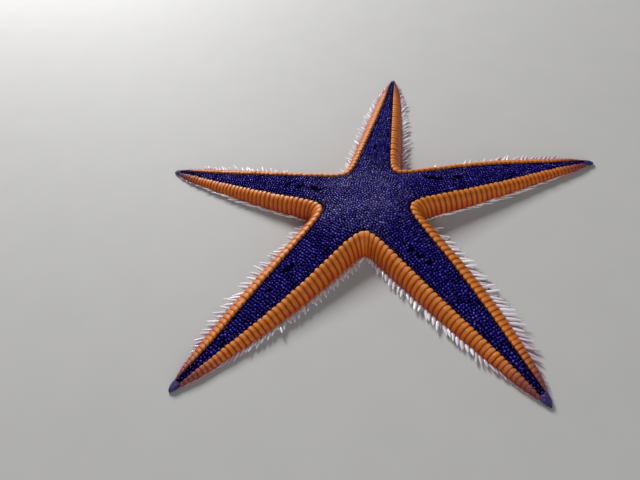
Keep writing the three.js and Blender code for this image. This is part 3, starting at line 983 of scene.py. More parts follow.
def make_wall(side):
    """The section at every ring, pressed in along its normals by dent * pitch * beside^4 * press.

    Beside is 0 in the middle of a bar and 1 in the grooves. The crown's edge also retreats there,
    and the bars slant towards the tip by a sine across each bar."""
    q, bar, across = bar_numbers()
    wall = wall_frame(side, q)
    pitch, number = wall["pitch"], SIDES.index(side)
    beside = np.abs(2 * across - 1)
    bulge = 1 - beside**4
    taller = rng.normal(0, 0.09, PLATES)[bar] * bulge
    wider = rng.normal(0, 0.07, PLATES)[bar] * bulge
    end = np.clip((q - 0.9) / 0.1, 0, 1) ** 2
    height = (rim_height(wall["rim"]) + taller) * (1 - 0.3 * end)
    out, up, press, rise = wall_section(wall["width"] + wider, height, BOXINESS[number])
    normal_out, normal_up = section_normals(out, up)
    notch = 1 - 0.7 * np.exp(-40 * q)  # the two walls that meet in a notch touch there
    dent = DENT[number] * notch
    groove = (0.19 * dent * pitch * (1 - bulge))[:, None] * press
    out = out - normal_out * groove
    up = up - normal_up * groove
    retreat = (0.16 * dent * pitch * beside**2.5)[:, None] * np.clip(rise * 4 - 3, 0, 1)
    out = out + retreat * (out < 0.35 * wall["width"][:, None])
    slant = (0.1 * pitch * np.sin(np.pi * across))[:, None] * (1 - rise)
    plan = wall["rim"][:, None] + wall["out"][:, None] * out[..., None]
    plan = plan + wall["on"][:, None] * slant[..., None]
    values = ring_values(
        out.shape,
        bar=(1 - beside * (0.56 + 0.44 * dent))[:, None],
        rise=rise,
        reach=q[:, None],
        tone=rng.random(PLATES)[bar][:, None],
    )
    name, faces = side_name(side), tube_faces(*out.shape)
    points = close_ends(lift(plan, up))
    piece = make_piece(f"plates_{name}", points, faces, ORANGE, values)
    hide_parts(f"margin_{name}")
    return piece


walls = [make_wall(side) for side in SIDES]
print("walls:", len(walls), "with", sum(len(piece.data.polygons) for piece in walls), "faces")

# %% [markdown]
# ## The lower plates
#
# Under each wall lies a second row of plates, one below each bar. They form the foot of the wall
# and reach in under the arm as flat cross bars that the animal rests on. Copies of one slab would
# have to be bent one by one where the arms meet. Another tube, whose own section runs from the foot
# of the wall to the plates beside the furrow, bends by itself.

# %% Lower plates from foot to furrow
UNDER_BAR_STEPS = np.array([0.0, 0.1, 0.25, 0.5, 0.75, 0.9])
FURROW_PLATE_WIDTH = 1.1


def furrow_edge(side, wall):
    """Plan points beside the furrow; in the notch the line turns in to the jaw there."""
    arm, sign = side
    start = RIM[side]["start"]
    inner = furrow_half(wall["x"]) + FURROW_PLATE_WIDTH
    seam_x, seam_y = to_arm(arm, notch_direction(arm, sign))
    jaw_x = inner[0] * abs(seam_x / seam_y)
    half = np.minimum(inner, 0.9 * field_half(arm, wall["x"]))
    return to_plan(arm, fanned(wall["x"], start, start - jaw_x), sign * half)


def make_lower_plates(side):
    """A tube from the foot of the wall in to the furrow's edge and back over itself.

    Between the bars it is pressed in by 0.15 * pitch * beside^3, and its underside lifts so."""
    q, bar, across = bar_numbers(UNDER_BAR_STEPS)
    wall = wall_frame(side, q)
    beside = np.abs(2 * across - 1)[:, None]
    dent = 0.15 * wall["pitch"][:, None] * beside**3
    seam = seam_height(rim_height(wall["rim"]))[:, None]
    foot_out = wall["width"][:, None] + [-0.6, -0.15, 0.1, 0.12, -0.1]
    foot_up = np.concatenate([seam + 0.1, seam - 0.02, 0.75 * seam, 0.4 * seam, 0.12 * seam], 1)
    foot = wall["rim"][:, None] + wall["out"][:, None] * (foot_out - dent)[..., None]
    outer = wall["rim"] + wall["out"] * (wall["width"] - 0.5)[:, None]
    inner = furrow_edge(side, wall)
    share = np.array([0, 0.15, 0.35, 0.55, 0.75, 0.9, 1.0])
    under = between(outer, inner, share)
    under_up = np.array([0.02, 0.0, 0.05, 0.1, 0.14, 0.2, 0.5]) + dent * [0.6, 1, 1, 1, 1, 1, 0.5]
    back = between(inner, outer, [0.05, 0.5])
    back_up = np.broadcast_to([0.8, 0.95], (len(q), 2))
    plan = np.concatenate([foot, under, back], 1)
    up = np.concatenate([foot_up, under_up, back_up], 1)
    up = np.minimum(up, np.maximum(0.6 * rim_height(wall["rim"]), 0.5)[:, None])
    rise = np.concatenate([np.ones(5), 1 - share, np.zeros(2)])
    tone = rng.random(PLATES)[bar][:, None]
    values = ring_values(up.shape, bar=1 - beside, rise=rise, tone=tone)
    name, faces = f"lower_plates_{side_name(side)}", tube_faces(*up.shape)
    return make_piece(name, close_ends(lift(plan, up)), faces, CREAM, values)


lower = [make_lower_plates(side) for side in SIDES]
print("lower plates:", sum(len(piece.data.polygons) for piece in lower), "faces")

# %% [markdown]
# ## The spines
#
# A flat, pointed spine leaves the foot of every plate and leans towards the arm's tip, with a
# shorter one and two tiny ones beneath it. All are stamped from one blade of a few dozen faces:
# rings of six points that swell, flatten and close to a point. Near the tips they lie close along
# the arm. Particles or instances could scatter them too, but stamped arrays are plain solid meshes.


# %% One blade
def blade(rings=(0.0, 0.12, 0.35, 0.62, 0.86), sides=6):
    """Points of a blade of length 1 along x: half width swells as a sine and closes as 1 - t^3."""
    t, turn = np.array(rings)[:, None], turns(sides)
    half = (0.7 + 0.3 * np.sin(np.pi * t**0.7)) * (1 - t**3.0) ** 0.8
    ring = np.stack([t + 0 * turn, half * np.cos(turn), half * np.sin(turn)], -1)
    points = np.concatenate([ring.reshape(-1, 3), [[-0.03, 0, 0], [1, 0, 0]]])
    return points, tube_faces(len(rings), sides), np.concatenate([np.repeat(rings, sides), [0, 1]])


BLADE, BLADE_FACES, BLADE_RISE = blade()
print("faces of a blade:", sum(len(group) for group in BLADE_FACES))

# %% Patches of the bake map
BAKE_PATCH = 0.003  # of the map's width, for one blade, crown or tube foot


def on_map(share):
    """A share from 0 to 1 as a place on the bake map, a little in from its borders."""
    return 0.02 + 0.96 * share


def bake_patches(roots, local):
    """Each copy's own small patch of the bake map, centred on its root's place on the map."""
    spread = (local - local.min(0)) / np.maximum(np.ptp(local, axis=0), 1e-9) - 0.5
    return roots[:, None] + BAKE_PATCH * spread


# %% One row of spines
# share of the seam's height at which spines are rooted, least height, and how far in under the edge
MAIN_ROOT, UNDER_ROOT = (0.62, 0.3, 0.1), (0.34, 0.2, 0.2)


def spine_row(side, count, root, length, half_width, lift_angle, seed, start=0.5):
    """Places, frames, sizes, q and tones of the blades along one wall; angles are in degrees.

    Lengths are min(1, 0.78 + 10 q) (1 - 0.66 s^1.3) of the given one, with s = (q - 0.6) / 0.4."""
    dice = np.random.default_rng(seed)
    q = (np.arange(count) + start + dice.uniform(-0.1, 0.1, count)) / count
    wall = wall_frame(side, q)
    level, least, inset = root
    height = np.maximum(level * seam_height(rim_height(wall["rim"])), least)
    plan = wall["rim"] + wall["out"] * (wall["width"] - inset)[:, None]
    grown = np.minimum(1, 0.78 + 10 * q) * (1 - 0.66 * np.clip((q - 0.6) / 0.4, 0, 1) ** 1.3)
    size = length * grown * dice.uniform(0.78, 1.12, count)
    lean = np.interp(q, LEAN_AT, SPINE_LEAN[side])
    folded = np.clip((lean - 60) / 20, 0, 1)  # folded spines lie closer, straighter and slimmer
    plan = plan - wall["out"] * (0.5 * folded)[:, None]
    turn = np.radians(lean + dice.normal(0, 1, count) * (8 - 5 * folded))
    tilt = np.radians(lift_angle + dice.normal(0, 4, count))
    flat = wall["out"] * np.cos(turn)[:, None] + wall["on"] * np.sin(turn)[:, None]
    ahead = lift(flat * np.cos(tilt)[:, None], np.sin(tilt))
    frames = frames_along(ahead, UP + 0.25 * dice.normal(0, 1, (count, 3)))
    half = half_width * grown**0.5 * (1 - 0.3 * folded)
    sizes = np.stack([size, half, 0.42 * half], 1)
    return lift(plan, height), frames, sizes, q, dice.random(count)


# %% Fringes of all ten walls
# Lean from straight outwards towards the tip, in degrees, at these shares of a wall. Some fringes
# stand out from the arm, and others are folded along it.
LEAN_AT = [0.0, 0.45, 0.7, 0.85, 1.0]
OPEN, FOLDED = [36, 44, 50, 66, 74], [70, 76, 80, 80, 82]
SPINE_LEAN = dict(zip(SIDES, [
    OPEN, OPEN,
    FOLDED, OPEN,
    [30, 40, 76, 80, 82], [14, 30, 40, 76, 82],
    [36, 44, 52, 80, 84], [38, 50, 62, 76, 82],
    OPEN, FOLDED,
]))
SPINE_LENGTH = [4.6, 4.6, 5.0, 4.6, 4.0, 5.3, 5.6, 4.0, 4.6, 5.0]
SECOND_ROW_SHARE = [0.5, 0.5, 0.5, 0.5, 0.5, 0.5, 0.88, 0.5, 0.5, 0.5]  # of those lengths
SPINE_BAKE_ROWS = np.repeat([0.9, 0.5, 0.1], [PLATES, PLATES, 2 * PLATES])  # up the bake map


def make_fringe(side):
    """A long row, a shorter row under it, and a row of tiny spines, stamped as one piece."""
    number = SIDES.index(side)
    length = SPINE_LENGTH[number]
    second = length * SECOND_ROW_SHARE[number]
    rows = [
        spine_row(side, PLATES, MAIN_ROOT, length, 0.66, 6, 100 + number),
        spine_row(side, PLATES, UNDER_ROOT, second, 0.5, -4, 200 + number, 0.88),
        spine_row(side, 2 * PLATES, UNDER_ROOT, 1.4, 0.3, -8, 300 + number),
    ]
    places, frames, sizes, q, tones = (np.concatenate(parts) for parts in zip(*rows))
    points, faces = stamp(BLADE, BLADE_FACES, places, frames, sizes)
    points[..., 2] = np.maximum(points[..., 2], 0.08)  # none reaches into the ground
    values = {
        "rise": np.tile(BLADE_RISE, len(places)),
        "tone": np.repeat(tones, len(BLADE)),
        "reach": np.repeat(q, len(BLADE)),
    }
    baked = bake_patches(np.stack([on_map(q), SPINE_BAKE_ROWS], -1), BLADE[:, :2])
    return make_piece(f"spines_{side_name(side)}", points, faces, PALE, values, baked)


fringes = [make_fringe(side) for side in SIDES]
print("fringes:", sum(len(piece.data.polygons) for piece in fringes), "faces")

# %% [markdown]
# ## The paxillae
#
# About 3,400 little pillars cover the upper side. On the arms they stand in slanting rows that
# meet along the middle line in a ragged crease, and each crown is a little longer across the arm.
# On the disc they are smaller and lie in no rows; there a *sunflower* pattern packs them evenly:
# the angle grows by the golden angle while the radius grows with the square root of the number.
#
# Each crown is a ring of six lobes round a raised middle, on a short stalk. A particle system could
# scatter it over the skin, but it knows nothing of rows, walls or slits, so the places are worked
# out here as well.


# %% One paxilla
def paxilla(sides=12):
    """Four rings from the top down, closed by a middle and a foot: radius times (1 + a cos 6t)."""
    turn = turns(sides)
    lobes = np.cos(6 * turn)
    rings = np.array([  # radius, lobing, height, height of the lobes, rise, place on its bake patch
        (0.40, 0.02, 0.16, 0.0, 0.85, 0.35),
        (0.76, 0.11, 0.0, 0.16, 0.9, 0.6),
        (0.99, 0.09, -0.34, 0.06, 0.42, 0.85),
        (0.60, 0.0, -0.75, 0.0, 0.08, 1.0),
    ])
    radius, lobing, height, lobe_height, rise, spread = rings.T[..., None]
    reach = radius * (1 + lobing * lobes)
    shape = [reach * np.cos(turn), reach * np.sin(turn), height + lobe_height * lobes]
    points = np.concatenate([np.stack(shape, -1).reshape(-1, 3), [[0, 0, 0.36], [0, 0, -1.2]]])
    rise = rise + 0 * turn
    rise[1] -= 0.16 * (1 - lobes)  # painted shade: rise is lowered between the lobes, so the finish darkens them
    flat = 0.5 * spread[..., None] * np.stack([np.cos(turn), np.sin(turn)], -1)
    flat = np.concatenate([flat.reshape(-1, 2), [[0, 0], [0.5, 0.02]]])
    return points, tube_faces(len(rings), sides), np.concatenate([rise.ravel(), [1, 0]]), flat


PAXILLA, PAXILLA_FACES, PAXILLA_RISE, PAXILLA_FLAT = paxilla()
print("faces of a crown:", sum(len(group) for group in PAXILLA_FACES))

# %% Where they stand
ROWS, MOST_ACROSS = 68, 16  # rows of crowns along an arm, and the most from a wall to its middle
ROW_SPACING = 0.96  # between crowns across the arm, as a share of the step between rows
ARM_SHUFFLE, DISC_SHUFFLE = 0.19, 0.2  # shares of a crown's size, and millimetres
DISC_SPACING, SUNFLOWER_RADIUS = 1.04, 24.0


def arm_places(arm):
    """Rows across both halves of an arm, evenly filled from the wall to the middle line.

    The crown number c of n in a row stands at y = room (1 - (c + 0.5) / n)."""
    found = []
    share = (np.arange(ROWS) + 0.5) / ROWS
    for sign in (1, -1):
        wall = wall_frame((arm, sign), share_to_q(share))
        room = sign * to_arm(arm, wall["rim"])[1] - 0.1
        gap = ROW_SPACING * RIM[arm, sign]["length"] / ROWS
        count = np.maximum(np.round(room / gap), 1)[:, None]
        column = np.arange(MOST_ACROSS)
        y = room[:, None] * (1 - (column + 0.5) / count)
        x = wall["x"][:, None] + 0 * y
        keep = (column < count) & (x > ARM_START - 1.5)
        found.append(np.stack([x, sign * y, gap + 0 * y], -1)[keep])
    x, y, size = np.concatenate(found).T
    shuffle = rng.normal(0, ARM_SHUFFLE, (2, len(x))) * size
    return to_plan(arm, x + shuffle[0], y + shuffle[1]), size


def disc_places():
    """Sunflower points over the disc: radius = c sqrt(n), angle = n times the golden angle."""
    step = DISC_SPACING * math.sqrt(math.sqrt(3) / 2 / math.pi)
    number = np.arange(1, int((SUNFLOWER_RADIUS / step) ** 2))
    radius = step * np.sqrt(number)
    angle = number * math.pi * (3 - math.sqrt(5))
    plan = np.stack([radius * np.cos(angle), radius * np.sin(angle)], -1)
    along = np.max([to_arm(arm, plan)[0] for arm in range(len(NAMES))], axis=0)
    plan = plan[(depth_inside(plan) > 0.4) & (along < ARM_START - 1.9)]
    return plan + rng.normal(0, DISC_SHUFFLE, plan.shape)


# %% [markdown]
# Rows and spirals as exact as these look woven. So every crown is shuffled, and then neighbours
# that stand too close push each other apart, round after round, which is also how crowns crowd
# together on the animal. Only the eight nearest neighbours of each crown are looked at.

# %% Crowding
CROWD, PUSH, WALL_ROOM = 0.53, 0.28, 0.36  # in crown sizes: gap, push, least gap to a wall


def nearest(plan, some, count=8):
    """Row numbers of the points nearest to some of them, leaving out the point itself."""
    gaps = np.linalg.norm(plan[some, None] - plan[None], axis=-1)
    return np.argsort(gaps, axis=1)[:, 1 : count + 1]


def settle(plan, size, rounds=24):
    """Moves each point by a share of its overlap with each neighbour, if it stays in the field."""
    some = np.array_split(np.arange(len(plan)), 12)
    near = np.concatenate([nearest(plan, part) for part in some])
    want = CROWD * (size[:, None] + size[near])[..., None]
    for _ in range(rounds):
        apart = plan[:, None] - plan[near]
        distance = np.linalg.norm(apart, axis=-1, keepdims=True) + 1e-6
        trial = plan + PUSH * (np.clip(want - distance, 0, None) * apart / distance).sum(1)
        plan = np.where((depth_inside(trial) > WALL_ROOM * size)[:, None], trial, plan)
    return plan


# %% Every crown's place and size
SIEVE_PLACE = 11.2 * notch_direction(0, 1)  # the sieve plate lies between the back and left arms
SIEVE_RADIUS, SIEVE_ROOM = 1.3, 1.4  # of the plate itself, and free of crowns
sets = [arm_places(arm) for arm in range(len(NAMES))]
middle = disc_places()
sets.append((middle, np.full(len(middle), DISC_SPACING)))
owner = np.repeat(np.arange(len(sets)), [len(plan) for plan, size in sets])
crown_size = np.concatenate([size for plan, size in sets])
crown_size = crown_size * rng.uniform(0.78, 1.14, len(crown_size))
crown_plan = settle(np.concatenate([plan for plan, size in sets]), crown_size)
from_sieve = np.linalg.norm(crown_plan - SIEVE_PLACE, axis=-1)
clear = (in_slits(crown_plan) == 0) & (from_sieve > SIEVE_ROOM)
owner, crown_size, crown_plan = owner[clear], crown_size[clear], crown_plan[clear]
print("crowns:", len(crown_plan), "on the arms and the disc:", np.bincount(owner))


# %% Crowns as one mesh
GREY_PLACE, GREY_RADIUS, GREY_FADE = np.array([-4, 1]), 6, 18  # where the crowns turn greyer, partly their own colour and partly a painted sheen


def make_paxillae(name, plan, size, roots, spin, stretch):
    """Crowns at plan points, square to the soft field, each turned and sized a little apart."""
    count = len(plan)
    normal = field_normal(plan)
    normal = unit(normal + 0.09 * rng.normal(0, 1, normal.shape))
    ahead = np.stack([np.cos(spin), np.sin(spin), 0 * spin], -1)
    radius = 0.5 * size * rng.uniform(0.92, 1.08, count)
    tall = 0.5 * rng.uniform(0.85, 1.15, count) * (size / 1.1) ** 0.5
    sizes = np.stack([radius * stretch, radius / stretch, tall], -1)
    places = lift(plan, field_height(plan) - 0.14 + rng.normal(0, 0.06, count))
    points, faces = stamp(PAXILLA, PAXILLA_FACES, places, frames_about(normal, ahead), sizes)
    from_grey = np.linalg.norm(plan - GREY_PLACE, axis=-1)
    toward_disc = np.clip(1 - (from_grey - GREY_RADIUS) / GREY_FADE, 0, 1)
    # painted shade beside the walls: 1 at a wall, fading to 0 by 1.4 mm inside
    wall_shade = np.clip(1.4 - depth_inside(plan), 0, 1)
    values = {
        "rise": np.tile(PAXILLA_RISE, count),
        "tone": np.repeat(rng.random(count), len(PAXILLA)),
        "disc": np.repeat(toward_disc, len(PAXILLA)),
        "edge": np.repeat(wall_shade, len(PAXILLA)),
    }
    baked = roots[:, None] + BAKE_PATCH * PAXILLA_FLAT
    return make_piece(f"paxillae_{name}", points, faces, VIOLET, values, baked)


# %% Paving the arms and the disc
BAKE_SPAN = 42.0  # width of the disc's bake map
paxillae = []
for arm, name in enumerate([*NAMES, "disc"]):
    plan, size = crown_plan[owner == arm], crown_size[owner == arm]
    roots = 0.5 + plan / BAKE_SPAN
    spin, stretch = rng.uniform(0, 2 * np.pi, len(plan)), rng.uniform(0.9, 1.1, len(plan))
    if name != "disc":  # along the rows on an arm
        spin = np.arctan2(ACROSS[arm, 1], ACROSS[arm, 0]) + 0.1 * spin
        stretch = 1.15 * stretch
        x, y = to_arm(arm, plan)
        share = (x - ARM_START + 3) / (LENGTH[arm] - ARM_START + 3)
        roots = np.stack([on_map(share), 0.5 + 0.47 * y / (field_half(arm, x) + 0.6)], -1)
    paxillae.append(make_paxillae(name, plan, size, roots, spin, stretch))
print("paxillae:", sum(len(piece.data.vertices) for piece in paxillae) // len(PAXILLA))

# %% [markdown]
# ## The ends of the arms
#
# A blunt violet plate caps each arm: a small dome with a groove along its middle. A scaled sphere
# would do for one arm. As the arms' ends differ, the dome is a tube whose width and height are
# worked out from the arm's own, and it is lumpy, as a living plate is.


# %% End plates
def make_end(arm):
    """A lumpy dome along x: half width = full (1 - s^2.4)^0.6, height = high sqrt(1 - s^2)."""
    rows, columns = 18, 28
    share, turn = np.linspace(0.0, 1, rows)[:, None], turns(columns)
    start = LENGTH[arm] - TERMINAL_LENGTH - 0.25
    x = start + (LENGTH[arm] - start) * share
    full = foot_half(arm, start) * TERMINAL_SHARE * 0.68
    half = full * (1 - share**2.4) ** 0.6 * (0.7 + 0.3 * np.cos(share * 1.5))
    high = 0.45 * TIP_HEIGHT * np.sqrt(np.clip(1 - (0.97 * share) ** 2, 0, 1))
    lump = 1 + 0.05 * np.sin(9 * turn + 3 * share) * np.sin(8 * share)
    y = half * np.cos(turn) * lump
    z = high * (1 + np.sin(turn) * lump)
    z = z - 0.1 * high * np.exp(-((y / 0.28) ** 2)) * (np.sin(turn) > 0)
    points = close_ends(lift(to_plan(arm, x, y), np.maximum(z, 0.03)))
    faces = tube_faces(rows, columns)
    piece = make_piece(f"end_{NAMES[arm]}", points, faces, VIOLET_END)
    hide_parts(f"tip_{NAMES[arm]}")
    return piece


ends = [make_end(arm) for arm in range(len(NAMES))]
print("end plates:", len(ends))

# %% [markdown]
# ## The sieve plate
#
# Sea water enters the animal through one small furrowed button on the disc, between two arms. Its
# furrows could be carved with a brush. A wave round the button, shifted by a second wave along its
# radius, gives furrows that wind outwards and stay even.


# %% The sieve plate
def make_sieve():
    """A low dome: height = top - 0.55 r^3 + ridge cos(11 a + 3.5 sin 4r + 2 sin 3a), and a root."""
    rows, columns = 16, 72
    share, turn = np.linspace(0.02, 1, rows)[:, None], turns(columns)
    wave = np.cos(11 * turn + 3.5 * np.sin(4 * share) + 2 * np.sin(3 * turn))
    spoke = SIEVE_RADIUS * np.stack([share * np.cos(turn), share * np.sin(turn)], -1)
    plan = SIEVE_PLACE + spoke
    top = field_height(SIEVE_PLACE[None])[0] - 0.12
    fade = np.clip(share * 2.5, 0, 1) * np.clip((1 - share) * 6, 0, 1)
    height = top - 0.55 * share**3 + 0.07 * wave * fade
    root = lift(SIEVE_PLACE + 0.9 * (plan[-1:] - SIEVE_PLACE), top - 1.0)
    points = close_ends(np.concatenate([lift(plan, height), root]))
    rise = with_ends(np.concatenate([0.5 + 0.5 * wave * fade, np.zeros((1, columns))]))
    faces = tube_faces(rows + 1, columns)
    piece = make_piece("sieve_plate", points, faces, SIEVE, {"rise": rise})
    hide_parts("madreporite")
    return piece


sieve = make_sieve()
print("sieve plate:", len(sieve.data.polygons), "faces")

# %% [markdown]
# ## The underside
#
# Beside each furrow runs a row of small plates with a comb of little spines, and in the furrow
# stand two rows of pointed tube feet, drawn in. Five jaws point to the middle of the mouth. None of
# this shows from above, but a museum visitor would turn the model over.
#
# The plates are one more tube with grooves between them, carried along the furrow's edge, and the
# comb is stamped from the blade of the fringes. Sculpting would give each plate its own face, but
# here the row has to keep its distance from the furrow all the way, which a formula does exactly.

# %% Plates beside the furrows
FURROW_PLATES, FURROW_START = 72, 4.2  # plates to a row, which starts this far from the centre
FURROW_PLATE_STEPS = np.array([0.0, 0.15, 0.5, 0.85])


def furrow_line(side, share, beyond):
    """x and plan points beside the furrow, this far from its edge, from the mouth to the tip."""
    arm, sign = side
    x = FURROW_START + (LENGTH[arm] - TERMINAL_LENGTH - 0.3 - FURROW_START) * share
    room = 0.86 * field_half(arm, x)
    return x, to_plan(arm, x, sign * np.minimum(furrow_half(x) + beyond, room))


def make_furrow_plates(side):
    """Seven points to a ring, at these distances from the furrow's edge and these heights."""
    share, bar, across = bar_numbers(FURROW_PLATE_STEPS, FURROW_PLATES)
    beside = np.abs(2 * across - 1)[:, None]
    beyond = np.array([-0.15, -0.1, 0.25, 0.7, 1.05, 1.1, 0.5])
    up = np.array([1.3, 0.55, 0.16, 0.12, 0.4, 1.1, 1.5])
    plan = np.stack([furrow_line(side, share, offset)[1] for offset in beyond], 1)
    size = (1 - 0.6 * share)[:, None]
    height = np.maximum(up * size, 0.1) + 0.14 * size * beside**3 * (up < 0.5)
    tone = rng.random(FURROW_PLATES)[bar][:, None]
    values = ring_values(height.shape, bar=1 - beside, rise=0.0, tone=tone)
    points, faces = close_ends(lift(plan, height)), tube_faces(*height.shape)
    name = f"furrow_plates_{side_name(side)}"
    return make_piece(name, points, faces, CREAM, values)


furrow_plates = [make_furrow_plates(side) for side in SIDES]
print("furrow plates:", FURROW_PLATES * len(furrow_plates))


# %% Combs over the furrows
def comb_rows(side, seed):
    """Places, frames, sizes, shares and tones of three spines to a plate, fanned to the furrow."""
    arm = side[0]
    dice = np.random.default_rng(seed)
    count = 3 * FURROW_PLATES
    share = (np.arange(count) + 0.5) / count
    x, plan = furrow_line(side, share, 0.2)
    inward = unit(to_plan(arm, x, 0) - plan)
    on = unit(to_plan(arm, x + 0.5, 0) - to_plan(arm, x - 0.5, 0))
    fan = np.radians(np.tile([-24, 0, 24], FURROW_PLATES) + dice.normal(0, 4, count))
    flat = inward * np.cos(fan)[:, None] + on * np.sin(fan)[:, None]
    rise = np.radians(18)
    frames = frames_along(lift(flat * np.cos(rise), np.sin(rise)), UP)
    size = 1 - 0.62 * share
    sizes = np.stack([1.5 * size, 0.17 * size, 0.12 * size], 1)
    return lift(plan, 0.25), frames, sizes, share, dice.random(count)


def make_comb(side):
    """The blade of the fringes, stamped over one side of a furrow."""
    places, frames, sizes, share, tones = comb_rows(side, 300 + SIDES.index(side))
    points, faces = stamp(BLADE, BLADE_FACES, places, frames, sizes)
    rise = np.tile(0.3 + 0.5 * BLADE_RISE, len(places))
    values = {"rise": rise, "tone": np.repeat(tones, len(BLADE))}
    baked = bake_patches(np.stack([on_map(share), 0.1 + 0.8 * tones], -1), BLADE[:, :2])
    return make_piece(f"comb_{side_name(side)}", points, faces, PALE, values, baked)


combs = [make_comb(side) for side in SIDES]
print("comb spines:", 3 * FURROW_PLATES * len(combs))

# %% [markdown]
# The tube feet and the jaws lie deepest. A foot is a soft cone, ringed like a worm and closed by a
# round tip, and stamped in two rows. A jaw is a wedge where two furrows meet, with a seam along it
# and short spines that close over the mouth. Both could be sculpted from a ball, but a profile
# turned round an axis gives them in a few lines, and all five arms agree.


# %% Tube feet
TUBE_FOOT_PAIRS = 44


def make_tube_feet(arm):
    """Two rows of hanging cones with rings: half width (1 - 0.45 t) sqrt(1.02 - t^6)."""
    dice = np.random.default_rng(400 + arm)
    count = 2 * TUBE_FOOT_PAIRS
    pair = (np.arange(TUBE_FOOT_PAIRS) + 0.5) / TUBE_FOOT_PAIRS
    x = np.repeat(5.5 + (LENGTH[arm] - 12) * pair**1.05, 2) + dice.normal(0, 0.1, count)
    sign = np.tile([1, -1], TUBE_FOOT_PAIRS)
    size = 1 - 0.72 * x / ARM_REACH
    plan = to_plan(arm, x, sign * 0.5 * furrow_half(x))
    height = UNDER_LEVEL + 0.72 * furrow_depth(x)
    rows, columns = 6, 10
    t, turn = np.linspace(0, 1, rows)[:, None], turns(columns)
    half = (1 - 0.45 * t) * np.sqrt(np.clip(1.02 - t**6, 0, 1)) * (1 + 0.06 * np.cos(22 * t))
    shape = close_ends(np.stack([t + 0 * turn, half * np.cos(turn), half * np.sin(turn)], -1))
    ahead = unit(lift(0.15 * dice.normal(0, 1, (count, 2)), -1.0))
    frames = frames_along(ahead, [-1.0, 0.0, 0.0])
    sizes = np.stack([2.3 * size, 0.46 * size, 0.46 * size], 1)
    faces = tube_faces(rows, columns)
    points, faces = stamp(shape, faces, lift(plan, height), frames, sizes)
    points[..., 2] = np.maximum(points[..., 2], 0.12)
    values = {"rise": np.tile(with_ends(t + 0 * turn), count)}
    roots = np.stack([on_map(x / ARM_REACH), 0.5 + 0.4 * sign], -1)
    baked = bake_patches(roots, shape[:, :2])
    return make_piece(f"tube_feet_{NAMES[arm]}", points, faces, FLESH, values, baked)


tube_feet = [make_tube_feet(arm) for arm in range(len(NAMES))]
print("tube feet:", 2 * TUBE_FOOT_PAIRS * len(tube_feet))


# %% Jaws round the mouth
JAW_START, JAW_LENGTH, JAW_SPINE_PAIRS = 1.2, 3.9, 7  # the point lies this far from the centre


def jaw_half(share):
    """Half the width of a jaw: 0.28 + 1.4 s^0.8, from its point to its root."""
    return 0.28 + 1.4 * share**0.8


def jaw_body(direction, aside):
    """A blunt wedge, jaw_half(s) sqrt(1.02 - (2 s - 1)^8) wide, with a seam along its underside."""
    rows, columns = 14, 16
    share, turn = np.linspace(0, 1, rows)[:, None], turns(columns)
    half = jaw_half(share) * np.sqrt(np.clip(1 - (2 * share - 1) ** 8, 0, 1) + 0.02)
    across = half * np.cos(turn)
    up = 1.35 + np.sin(turn) * (1 - 0.25 * (1 - share))
    up = up + 0.3 * np.exp(-((across / 0.2) ** 2)) * (np.sin(turn) < 0)
    radius = JAW_START + JAW_LENGTH * share
    plan = radius[..., None] * direction + across[..., None] * aside
    return close_ends(lift(plan, up)), tube_faces(rows, columns)


def jaw_spines(arm, direction, aside):
    """Pairs of short spines along both edges of a jaw, pointing in and a little down."""
    dice = np.random.default_rng(500 + arm)
    place = np.linspace(0.02, 0.95, JAW_SPINE_PAIRS).repeat(2)[:, None]
    sign = np.tile([1, -1], JAW_SPINE_PAIRS)[:, None]
    root = (JAW_START + JAW_LENGTH * place) * direction + sign * jaw_half(place) * 0.8 * aside
    inward = -direction * (1 - 0.6 * place) + sign * aside * (0.35 + place)
    ahead = unit(lift(inward, -0.25 + dice.normal(0, 0.08, len(place))))
    sizes = np.tile([1.15, 0.17, 0.13], (len(place), 1))
    points, faces = stamp(BLADE, BLADE_FACES, lift(root, 0.7), frames_along(ahead, UP), sizes)
    points[..., 2] = np.maximum(points[..., 2], 0.1)
    return points.reshape(-1, 3), faces


def make_jaw(arm):
    """Wedge and spines as one piece, midway between an arm and its left neighbour."""
    direction = notch_direction(arm, 1)
    aside = np.array([-direction[1], direction[0]])
    body, body_faces = jaw_body(direction, aside)
    spines, spine_faces = jaw_spines(arm, direction, aside)
    points = np.concatenate([body, spines])
    faces = [np.concatenate([a, b + len(body)]) for a, b in zip(body_faces, spine_faces)]
    values = {"bar": 1.0, "tone": 0.8, "rise": 0.0}
    piece = make_piece(f"jaw_{NAMES[arm]}", points, faces, CREAM, values)
    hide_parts(f"jaw_left_of_{NAMES[arm]}")
    return piece


jaws = [make_jaw(arm) for arm in range(len(NAMES))]
print("jaws:", len(jaws))

# %% [markdown]
# ## Floor, light and camera
#
# The model lies on a plain pale floor. One soft light stands behind the model and to the left, as a
# low bright sky would, and a weaker one fills the near side. A picture of a real sky would give
# richer glints, but two square lamps keep the colours plain and the shadows soft. The camera looks
# down steeply from in front, with a short lens, and is rolled a little.

# %% Floor
FLOOR_SIZE = 3.0  # metres


def make_floor():
    """One square, level with what the model rests on."""
    mesh = bpy.data.meshes.new("floor")
    half = FLOOR_SIZE / 2
    corners = [(-half, -half, 0), (half, -half, 0), (half, half, 0), (-half, half, 0)]
    mesh.from_pydata(corners, [], [(0, 1, 2, 3)])
    bench = Bench("floor")
    grain = bench.noise(60, 4)
    colour = bench.mix(grain, rgb(194, 193, 191), rgb(200, 199, 197))
    mesh.materials.append(bench.finish(Base_Color=colour, Roughness=0.75))
    floor = bpy.data.objects.new("floor", mesh)
    bpy.context.scene.collection.objects.link(floor)


make_floor()
print("floor:", FLOOR_SIZE, "m across")


# %% Lights
def looking(toward):
    """The axes to the right and up of something that looks along this unit vector."""
    right = unit(np.cross(toward, UP))
    return right, np.cross(right, toward)


